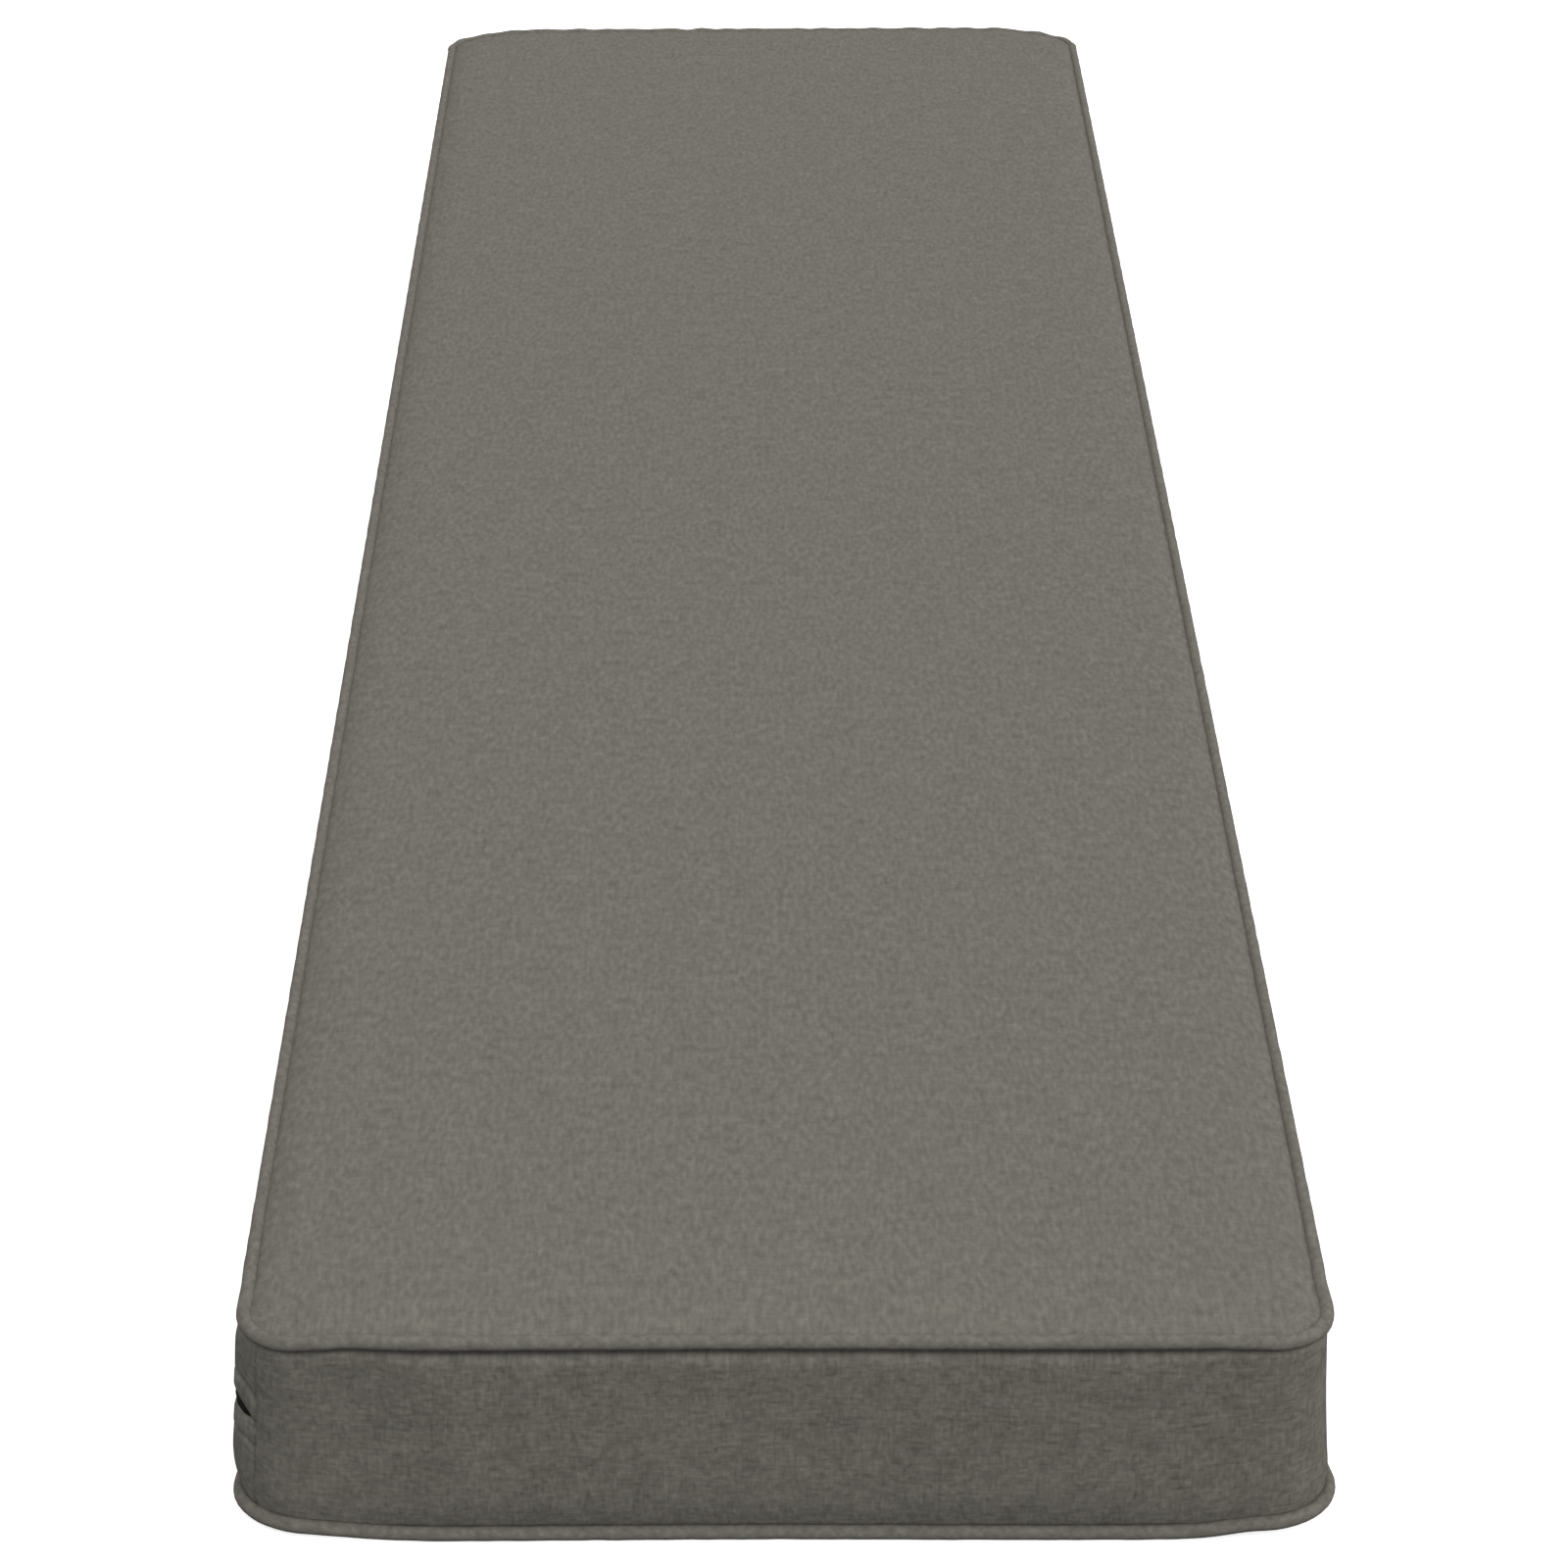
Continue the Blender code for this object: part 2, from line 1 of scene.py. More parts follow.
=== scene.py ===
"""Bench cushion: its sewn pieces, cloth and studio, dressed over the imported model.

X runs across the cushion, Y along it from the near end to the far end and Z up. Each piece starts as
a flat grid of cloth, is laid out on a plain boxed block whose outline is the top seam line, and is
then moved to where the sewing and the filling put it. Distances round the outline start at the
upright seam of the near left corner and run past the near end, the right side and the far end; the
zip's stretch is the rest, along the left side.
"""

import math

import bpy
import numpy as np
from bpy.props import FloatProperty, FloatVectorProperty, PointerProperty
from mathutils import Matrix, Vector, noise


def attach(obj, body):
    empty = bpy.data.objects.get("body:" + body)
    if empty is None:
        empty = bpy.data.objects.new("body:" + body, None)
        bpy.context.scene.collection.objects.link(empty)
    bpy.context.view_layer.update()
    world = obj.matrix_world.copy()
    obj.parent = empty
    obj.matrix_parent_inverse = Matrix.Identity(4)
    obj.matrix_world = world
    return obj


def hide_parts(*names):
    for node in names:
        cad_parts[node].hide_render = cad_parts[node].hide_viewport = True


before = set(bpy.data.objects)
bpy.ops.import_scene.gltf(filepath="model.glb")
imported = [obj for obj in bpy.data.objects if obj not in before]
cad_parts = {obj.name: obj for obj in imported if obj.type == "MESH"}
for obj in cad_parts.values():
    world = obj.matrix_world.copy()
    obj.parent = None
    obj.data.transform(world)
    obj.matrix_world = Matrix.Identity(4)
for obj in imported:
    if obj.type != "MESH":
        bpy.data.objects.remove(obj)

bl_info = {
    "name": "Bench Cushion",
    "version": (1, 0, 0),
    "blender": (4, 5, 0),
    "location": "View3D > Sidebar > Cushion",
    "description": "Makes a boxed bench cushion with welted edges and a zip placket",
    "category": "Add Mesh",
}

UNDER_WELT, OVER_WELT = 0.0034, 0.0918      # where the sides come out from the two welts
LEVELS = np.array((
    # below the top seam, and how far the side, a corner and the zip's stretch stand out there
    (UNDER_WELT, -0.0036, -0.0036, -0.0036),
    (0.0046, -0.0032, -0.0032, -0.0030),
    (0.0051, -0.0012, -0.0022, -0.0014),
    (0.0057, 0.0010, -0.0012, 0.0004),
    (0.0066, 0.0021, -0.0006, 0.0015),
    (0.0090, 0.0028, -0.0004, 0.0024),
    (0.0170, 0.0030, -0.0006, 0.0034),
    (0.0445, 0.0032, -0.0011, 0.0031),
    (0.0680, 0.0030, -0.0009, 0.0037),
    (0.0765, 0.0026, -0.0006, 0.0031),
    (0.0815, 0.0019, -0.0005, 0.0024),
    (0.0855, 0.0009, -0.0008, 0.0014),
    (0.0885, 0.0000, -0.0011, 0.0003),
    (0.0905, -0.0008, -0.0014, -0.0006),
    (OVER_WELT, -0.0014, -0.0018, -0.0014),
))
SIDE, CORNER, ZIP = 1, 2, 3                 # columns of LEVELS
LOWER_RIMS = ((0.0026, -0.0036), (0.0009, -0.0040))     # of the body: over the bottom seam, and how far out
UPPER_RIMS = ((0.0022, -0.0049), (0.0027, -0.0043))     # below the top seam, and how far out

CORNERS = np.array((
    # side, end, dip of the top seam, lift of the bottom one, tuck of the end, ear at top and at foot
    (-1, -1, 0.0039, 0.0022, 0.0042, 0.0013, 0.0039),
    (1, -1, 0.0015, 0.0044, 0.0000, 0.0018, 0.0032),
    (1, 1, 0.0040, 0.0030, 0.0023, 0.0015, 0.0030),
    (-1, 1, 0.0044, 0.0030, 0.0010, 0.0020, 0.0034),
))
# how far each of these reaches from a corner's middle
DIP_REACH, TUCK_REACH, TOP_EAR_REACH, FOOT_EAR_REACH, BAND_REACH = 0.047, 0.077, 0.034, 0.050, 0.085
# the near end's right half stands nearer: by how much, from where, over what width and how far in
SKEW, SKEW_START, SKEW_WIDTH, SKEW_REACH = 0.0020, -0.040, 0.190, 0.250
HUMP, HUMP_FROM_SIDE, HUMP_WIDTH = 0.0017, 0.030, 0.018     # of the bottom seam by the near right corner
HOLD_REACH, SPREAD_REACH = 0.085, 0.120     # how far in from the sides the seams and the foot shape the block
NEAR_SEAM, SEAM_DEPTH = 0.3, 0.022          # the seams wander within this share of the height, and this far in
CALM, CALM_REACH = 0.2, 0.06                # the seams wander less, but near the far end

SHEET = 0.002                               # cover cloth with its backing
PANEL_EDGE, PANEL_START = 0.0019, 0.0018    # the top panel's edge: in from the seam line, and over it
CORD_IN, CORD_UP = 0.0004, 0.0004           # the cords' middle, in from the seam line and over it
SLIM, SLIM_START = 0.0004, 0.120            # how much the top cord is pulled slimmer along the sides
SHOULDER_REACH, SWELL_REACH = 0.0062, 0.060  # of the crown, in from the seam
UPPER_CREASE, SLIT, LOWER_CREASE = 0.0310, 0.0445, 0.0580   # below the top seam, along the middle
ZIP_LINES = np.array((
    # distance from an upright seam, the same three lines there, and half the opening of the slit
    (0.0000, 0.0362, 0.0490, 0.0618, -0.0004),
    (0.0034, 0.0334, 0.0479, 0.0610, -0.0001),
    (0.0048, 0.0323, 0.0470, 0.0603, 0.0010),
    (0.0068, 0.0310, 0.0463, 0.0597, 0.0019),
    (0.0098, 0.0300, 0.0453, 0.0594, 0.0027),
    (0.0130, 0.0299, 0.0448, 0.0601, 0.0030),
    (0.0180, 0.0306, 0.0446, 0.0600, 0.0031),
    (0.0400, 0.0310, 0.0446, 0.0588, 0.0018),
    (0.0900, UPPER_CREASE, SLIT, LOWER_CREASE, 0.0009),
    (0.8000, UPPER_CREASE, SLIT, LOWER_CREASE, 0.0008),
))
TAPE_WIDTH, TAPE_THICKNESS, TAPE_GAP = 0.028, 0.0012, 0.0015    # the gap is behind the strips
STRIP_EASE = 0.020                          # the strips grow from the band's line over this distance
# painted shade in the sides' crevice under the top cord: place across the cloth, dark and whole half width, darkness
PAINTED_SHADE_UNDER_CORD = (-0.0036, 0.0012, 0.0019, 0.64)


def sizes():
    return bpy.context.scene.cushion_sizes


def look():
    return bpy.context.scene.cushion_look


def smooth_fall(distance, reach):
    """1 at no distance, easing down to 0 at the reach and beyond."""
    share = np.clip(1.0 - np.asarray(distance) / reach, 0.0, 1.0)
    return share * share * (3.0 - 2.0 * share)


def blend(first, second, share):
    return first + (second - first) * share


def half_width():
    """From the middle to the top seam line, across."""
    size = sizes()
    return size.width / 2 - size.welt_radius - size.foot_spread


def half_length():
    """From the middle to the top seam line, along."""
    size = sizes()
    return size.length / 2 - size.welt_radius - size.foot_spread


def bottom_seam():
    return sizes().welt_radius + 0.0003


def top_seam():
    return bottom_seam() + sizes().seam_spacing


def corner_middle(side, end):
    """Where the top seam line passes the middle of a corner."""
    radius = sizes().corner_radius
    way = np.array((side, end))
    return way * np.array((half_width() - radius, half_length() - radius)) + way / math.sqrt(2) * radius


def outline_runs():
    """The stretches of the outline: length, start and either a direction or an arc's first angle."""
    radius = sizes().corner_radius
    x, y = half_width() - radius, half_length() - radius
    quarter = math.pi / 2
    return (
        ("arc", radius * quarter / 2, (-x, -y), -quarter * 1.5),
        ("line", 2 * x, (-x, -half_length()), (1.0, 0.0)),
        ("arc", radius * quarter, (x, -y), -quarter),
        ("line", 2 * y, (half_width(), -y), (0.0, 1.0)),
        ("arc", radius * quarter, (x, y), 0.0),
        ("line", 2 * x, (x, half_length()), (-1.0, 0.0)),
        ("arc", radius * quarter, (-x, y), quarter),
        ("line", 2 * y, (-half_width(), y), (0.0, -1.0)),
        ("arc", radius * quarter / 2, (-x, -y), quarter * 2),
    )


def outline_length():
    return sum(run[1] for run in outline_runs())


def band_length():
    """From the near left upright seam round to the far left one."""
    return sum(run[1] for run in outline_runs()[:6]) + outline_runs()[0][1]


def on_outline(distance):
    """Plan places and ways out at distances round the top seam line."""
    left = np.asarray(distance, float) % outline_length()
    place, out = np.zeros(left.shape + (2,)), np.zeros(left.shape + (2,))
    done = np.zeros(left.shape, bool)
    for kind, length, start, turn in outline_runs():
        here = ~done & (left <= length + 1e-9)
        if kind == "arc":
            angle = turn + left / sizes().corner_radius
            way = np.stack((np.cos(angle), np.sin(angle)), -1)
            spot = np.array(start) + way * sizes().corner_radius
        else:
            way = np.broadcast_to((turn[1], -turn[0]), place.shape)
            spot = np.array(start) + left[..., None] * np.array(turn)
        place[here], out[here] = spot[here], way[here]
        done |= here
        left = left - length
    return place, out


def seam_line(plan):
    """How far plan places lie inside the top seam line, the way out there, and the distance round."""
    radius = sizes().corner_radius
    side, end = np.where(plan[..., 0] < 0, -1.0, 1.0), np.where(plan[..., 1] < 0, -1.0, 1.0)
    past_x = np.abs(plan[..., 0]) - (half_width() - radius)
    past_y = np.abs(plan[..., 1]) - (half_length() - radius)
    reach = np.maximum(np.hypot(past_x, past_y), 1e-12)
    rounded, sideways = (past_x > 0) & (past_y > 0), past_x > past_y
    inside = np.where(rounded, radius - reach, radius - np.maximum(past_x, past_y))
    out_x = np.where(rounded, side * past_x / reach, np.where(sideways, side, 0.0))
    out_y = np.where(rounded, end * past_y / reach, np.where(sideways, 0.0, end))
    out = np.stack((out_x, out_y), -1)
    runs = outline_runs()
    starts = np.concatenate(([0.0], np.cumsum([run[1] for run in runs])))
    angle = np.arctan2(np.abs(out_y), np.abs(out_x)) * radius
    quarter = radius * math.pi / 2
    right, far = side > 0, end > 0
    corner_start = np.where(right, np.where(far, starts[4], starts[2]), np.where(far, starts[6], starts[8]))
    swept = np.where(right == far, angle, quarter - angle)
    swept = np.where(~right & ~far, angle, swept)
    along_end = np.where(far, starts[5] + runs[5][2][0] - plan[..., 0], starts[1] + plan[..., 0] - runs[1][2][0])
    along_side = np.where(right, starts[3] + plan[..., 1] - runs[3][2][1], starts[7] + runs[7][2][1] - plan[..., 1])
    round_it = np.where(rounded, corner_start + swept, np.where(sideways, along_side, along_end))
    return inside, out, round_it % outline_length()


def waves(round_it, counts, seed):
    """A gentle unevenness between about -1 and 1 that closes on itself round the outline."""
    turns = np.random.default_rng(seed).uniform(0.0, 1.0, len(counts))
    share = np.asarray(round_it) / outline_length()
    total = sum(np.sin(2 * math.pi * (count * share + turn)) for count, turn in zip(counts, turns))
    return total / math.sqrt(len(counts))


def crown(plan, inside):
    """Rise of the top panel over its own edge."""
    from_edge = np.maximum(inside - PANEL_EDGE, 0.0)
    across = 1.0 - np.exp(-np.maximum(half_width() - np.abs(plan[..., 0]), 0.0) / SWELL_REACH)
    along = 1.0 - np.exp(-np.maximum(half_length() - np.abs(plan[..., 1]), 0.0) / SWELL_REACH)
    shoulder = 1.0 - np.exp(-from_edge / SHOULDER_REACH)
    return shoulder * (sizes().shoulder_rise + sizes().swell_rise * across * along)


def shaped(points):
    """Where points of the plain boxed block lie on the sewn and filled cushion."""
    plan = points[..., :2]
    inside, out, round_it = seam_line(plan)
    foot = plan + out * inside[..., None]
    depth = np.maximum(inside, 0.0)
    height = np.clip((points[..., 2] - bottom_seam()) / sizes().seam_spacing, 0.0, 1.0)
    hold = smooth_fall(depth, HOLD_REACH)
    spread = sizes().foot_spread * (1.0 - height) * smooth_fall(depth, SPREAD_REACH)
    moved = plan + out * spread[..., None]
    rise = crown(plan, inside) * height
    for side, end, dip, lift, tuck, ear, foot_ear in CORNERS:
        along = np.linalg.norm(foot - corner_middle(side, end), axis=-1)
        rise = rise + hold * smooth_fall(along, DIP_REACH) * blend(lift, -dip, height)
        at_foot, at_top = foot_ear * smooth_fall(along, FOOT_EAR_REACH), ear * smooth_fall(along, TOP_EAR_REACH)
        stand = blend(at_foot, at_top, height) * hold
        drawn = tuck * smooth_fall(along, TUCK_REACH) * hold
        moved = moved + np.stack((side * stand, -end * drawn), -1)
    from_end = plan[..., 1] + half_length()
    skewed = (1.0 - smooth_fall(plan[..., 0] - SKEW_START, SKEW_WIDTH)) * smooth_fall(from_end, SKEW_REACH)
    moved = moved - np.stack((np.zeros(skewed.shape), SKEW * skewed), -1)
    by_corner = np.exp(-(((half_width() - HUMP_FROM_SIDE - foot[..., 0]) / HUMP_WIDTH) ** 2))
    rise = rise + HUMP * by_corner * (1.0 - height) * hold * smooth_fall(from_end, HOLD_REACH)
    near_top = smooth_fall(1.0 - height, NEAR_SEAM) * smooth_fall(depth, SEAM_DEPTH)
    near_foot = smooth_fall(height, NEAR_SEAM) * smooth_fall(depth, SEAM_DEPTH)
    calm = CALM + (1.0 - CALM) * smooth_fall(half_length() - plan[..., 1], CALM_REACH)
    uneven = sizes().seam_unevenness * calm
    rise = rise + uneven * waves(round_it, (131, 178, 223), 3) * near_top
    rise = rise + 0.5 * uneven * np.maximum(waves(round_it, (97, 151, 190), 5), -0.4) * near_foot
    sway = uneven * (waves(round_it, (109, 163, 207), 7) * near_top + waves(round_it, (88, 139, 201), 9) * near_foot)
    moved = moved + out * sway[..., None]
    return np.concatenate((moved, (points[..., 2] + rise)[..., None]), -1)


def read_table(table, column, at):
    """A column of a table read as a smooth curve over its first column, with no overshoot."""
    spots, values = table[:, 0], table[:, column]
    rates = np.diff(values) / np.diff(spots)
    slopes = np.zeros(len(spots))
    same_way = rates[:-1] * rates[1:] > 0
    slopes[1:-1][same_way] = 2.0 / (1.0 / rates[:-1][same_way] + 1.0 / rates[1:][same_way])
    slopes[0], slopes[-1] = rates[0], rates[-1]
    at = np.clip(at, spots[0], spots[-1])
    step = np.clip(np.searchsorted(spots, at) - 1, 0, len(spots) - 2)
    span = spots[step + 1] - spots[step]
    share = (at - spots[step]) / span
    ease = share * share * (3.0 - 2.0 * share)
    start = share * (1.0 - share) ** 2 * span * slopes[step]
    finish = share * share * (share - 1.0) * span * slopes[step + 1]
    return blend(values[step], values[step + 1], ease) + start + finish


def level_out(below, column):
    """How far a side stands out at distances below the top seam."""
    return read_table(LEVELS, column, below)


def band_out(place, below):
    """How far the boxing band stands out, drawn in towards the corners."""
    nearest = np.full(place.shape[:-1], 1.0)
    for side, end in CORNERS[:, :2]:
        nearest = np.minimum(nearest, np.linalg.norm(place - corner_middle(side, end), axis=-1))
    return blend(level_out(below, SIDE), level_out(below, CORNER), smooth_fall(nearest, BAND_REACH))


def strip_out(along, below):
    """How far a zip strip stands out, growing from the band's line at its upright seam."""
    return blend(level_out(below, ZIP), level_out(below, CORNER), smooth_fall(along, STRIP_EASE))


def along_zip(round_it):
    """Distance from the nearer upright seam on the zip's stretch, below 0 off it."""
    round_it = np.asarray(round_it) % outline_length()
    return np.minimum(round_it - band_length(), outline_length() - round_it)


def pick(piece=None):
    """Leave only this piece selected, or nothing."""
    bpy.ops.object.select_all(action="DESELECT")
    if piece:
        piece.select_set(True)
        bpy.context.view_layer.objects.active = piece


def add_grid(name, columns, rows):
    """A flat piece of cloth to shape, and the column and row of each of its corners."""
    pick()
    bpy.ops.mesh.primitive_grid_add(x_subdivisions=columns - 1, y_subdivisions=rows - 1, size=2.0)
    piece = bpy.context.object
    piece.name = name
    piece.data.name = name
    flat = np.empty(len(piece.data.vertices) * 3)
    piece.data.vertices.foreach_get("co", flat)
    flat = flat.reshape(-1, 3)
    column = np.rint((flat[:, 0] + 1.0) / 2.0 * (columns - 1)).astype(int)
    row = np.rint((flat[:, 1] + 1.0) / 2.0 * (rows - 1)).astype(int)
    return piece, column, row


def lay(piece, points, cloth_place):
    """Move the piece's corners to points and give its faces their places on the flat cloth."""
    mesh = piece.data
    mesh.vertices.foreach_set("co", np.ascontiguousarray(points, float).ravel())
    corners = np.empty(len(mesh.loops), int)
    mesh.loops.foreach_get("vertex_index", corners)
    while mesh.uv_layers:
        mesh.uv_layers.remove(mesh.uv_layers[0])
    layer = mesh.uv_layers.new(name="cloth")
    layer.data.foreach_set("uv", np.ascontiguousarray(cloth_place[corners], float).ravel())
    mesh.update()


def sew_shut(piece, caps=True):
    """Join corners that meet, close open ends and turn every face outwards."""
    pick(piece)
    bpy.ops.object.mode_set(mode="EDIT")
    bpy.ops.mesh.select_mode(type="VERT")
    bpy.ops.mesh.select_all(action="SELECT")
    bpy.ops.mesh.remove_doubles(threshold=1e-5)
    if caps:
        bpy.ops.mesh.fill_holes(sides=0)
    bpy.ops.mesh.normals_make_consistent(inside=False)
    bpy.ops.mesh.select_all(action="DESELECT")
    bpy.ops.object.mode_set(mode="OBJECT")


def give_thickness(piece, thickness):
    """Give a sheet its thickness on its inner side."""
    solid = piece.modifiers.new("cloth thickness", "SOLIDIFY")
    solid.thickness = thickness
    solid.offset = -1.0
    solid.use_even_offset = False
    pick(piece)
    bpy.ops.object.modifier_apply(modifier=solid.name)


def finish_piece(piece, cloth, nodes=(), edge_degrees=50.0):
    """Shade a piece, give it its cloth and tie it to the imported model."""
    pick(piece)
    bpy.ops.object.shade_smooth_by_angle(angle=math.radians(edge_degrees))
    piece.data.materials.clear()
    piece.data.materials.append(cloth)
    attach(piece, "root")
    if nodes:
        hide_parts(*nodes)


def stations(length, step, edges=()):
    """Places from 0 to a length, close together by both ends and a step apart between."""
    edges = [edge for edge in edges if edge < length / 2]
    start = edges[-1] if edges else 0.0
    count = max(int(round((length - 2 * start) / step)), 1)
    middle = np.linspace(start, length - start, count + 1)
    first = np.array(edges[:-1])
    return np.concatenate((first, middle, length - first[::-1])) if len(edges) > 1 else middle


# Cloth


class Weaver:
    """Adds shader nodes one after another to a material."""

    def __init__(self, name):
        self.material = bpy.data.materials.new(name)
        self.material.use_nodes = True
        self.tree = self.material.node_tree
        self.shader = self.tree.nodes["Principled BSDF"]

    def node(self, kind, **settings):
        made = self.tree.nodes.new(kind)
        for key, value in settings.items():
            setattr(made, key, value)
        return made

    def link(self, source, target):
        """Feed a socket from another one, or with a plain value."""
        if isinstance(source, bpy.types.NodeSocket):
            self.tree.links.new(source, target)
        else:
            target.default_value = source

    def maths(self, operation, *values):
        """One step of arithmetic on values or sockets."""
        made = self.node("ShaderNodeMath", operation=operation)
        for value, socket in zip(values, made.inputs):
            self.link(value, socket)
        return made.outputs[0]

    def mix(self, share, first, second):
        """Between two values, by a share."""
        made = self.node("ShaderNodeMix", data_type="FLOAT")
        for value, socket in zip((share, first, second), (made.inputs[0], made.inputs[2], made.inputs[3])):
            self.link(value, socket)
        return made.outputs[0]

    def apart(self, place):
        """A place's three values."""
        made = self.node("ShaderNodeSeparateXYZ")
        self.link(place, made.inputs[0])
        return made.outputs

    def colours(self, value, *stops):
        """Colour a value by stops, each a place from 0 to 1 and a colour."""
        made = self.node("ShaderNodeValToRGB")
        self.link(value, made.inputs[0])
        elements = made.color_ramp.elements
        for element, (place, colour) in zip(elements, (stops[0], stops[-1])):
            element.position, element.color = place, (*colour, 1.0)
        for place, colour in stops[1:-1]:
            elements.new(place).color = (*colour, 1.0)
        return made.outputs["Color"]

    def bump(self, height, strength, distance):
        """Let a height tilt the surface's shading."""
        made = self.node("ShaderNodeBump")
        made.inputs["Strength"].default_value = strength
        made.inputs["Distance"].default_value = distance
        self.link(height, made.inputs["Height"])
        self.link(made.outputs["Normal"], self.shader.inputs["Normal"])

    def finish(self, colour, **settings):
        """Give the shader its colour and its other values, and hand over the material."""
        self.link(colour, self.shader.inputs["Base Color"])
        for name, value in settings.items():
            self.shader.inputs[name.replace("_", " ")].default_value = value
        return self.material

    def spread(self, value, low, high, to_low, to_high):
        """Map a value from one range to another, held at its ends."""
        made = self.node("ShaderNodeMapRange")
        for item, socket in zip((value, low, high, to_low, to_high), made.inputs):
            self.link(item, socket)
        return made.outputs[0]

    def speckle(self, place, scale, detail=0.0, roughness=0.5, lift=0.0):
        """A smooth random value from 0 to 1 with its own scale along each way of the cloth."""
        turned = self.node("ShaderNodeMapping")
        self.link(place, turned.inputs["Vector"])
        turned.inputs["Scale"].default_value = scale
        turned.inputs["Location"].default_value = (lift, lift * 0.7, lift * 1.3)
        made = self.node("ShaderNodeTexNoise", noise_dimensions="3D")
        self.link(turned.outputs[0], made.inputs["Vector"])
        made.inputs["Scale"].default_value = 1.0
        made.inputs["Detail"].default_value = detail
        made.inputs["Roughness"].default_value = roughness
        return made.outputs["Fac"]


def linear(colour):
    """The light values of a display colour."""
    return tuple(channel / 12.92 if channel <= 0.04045 else ((channel + 0.055) / 1.055) ** 2.4 for channel in colour)


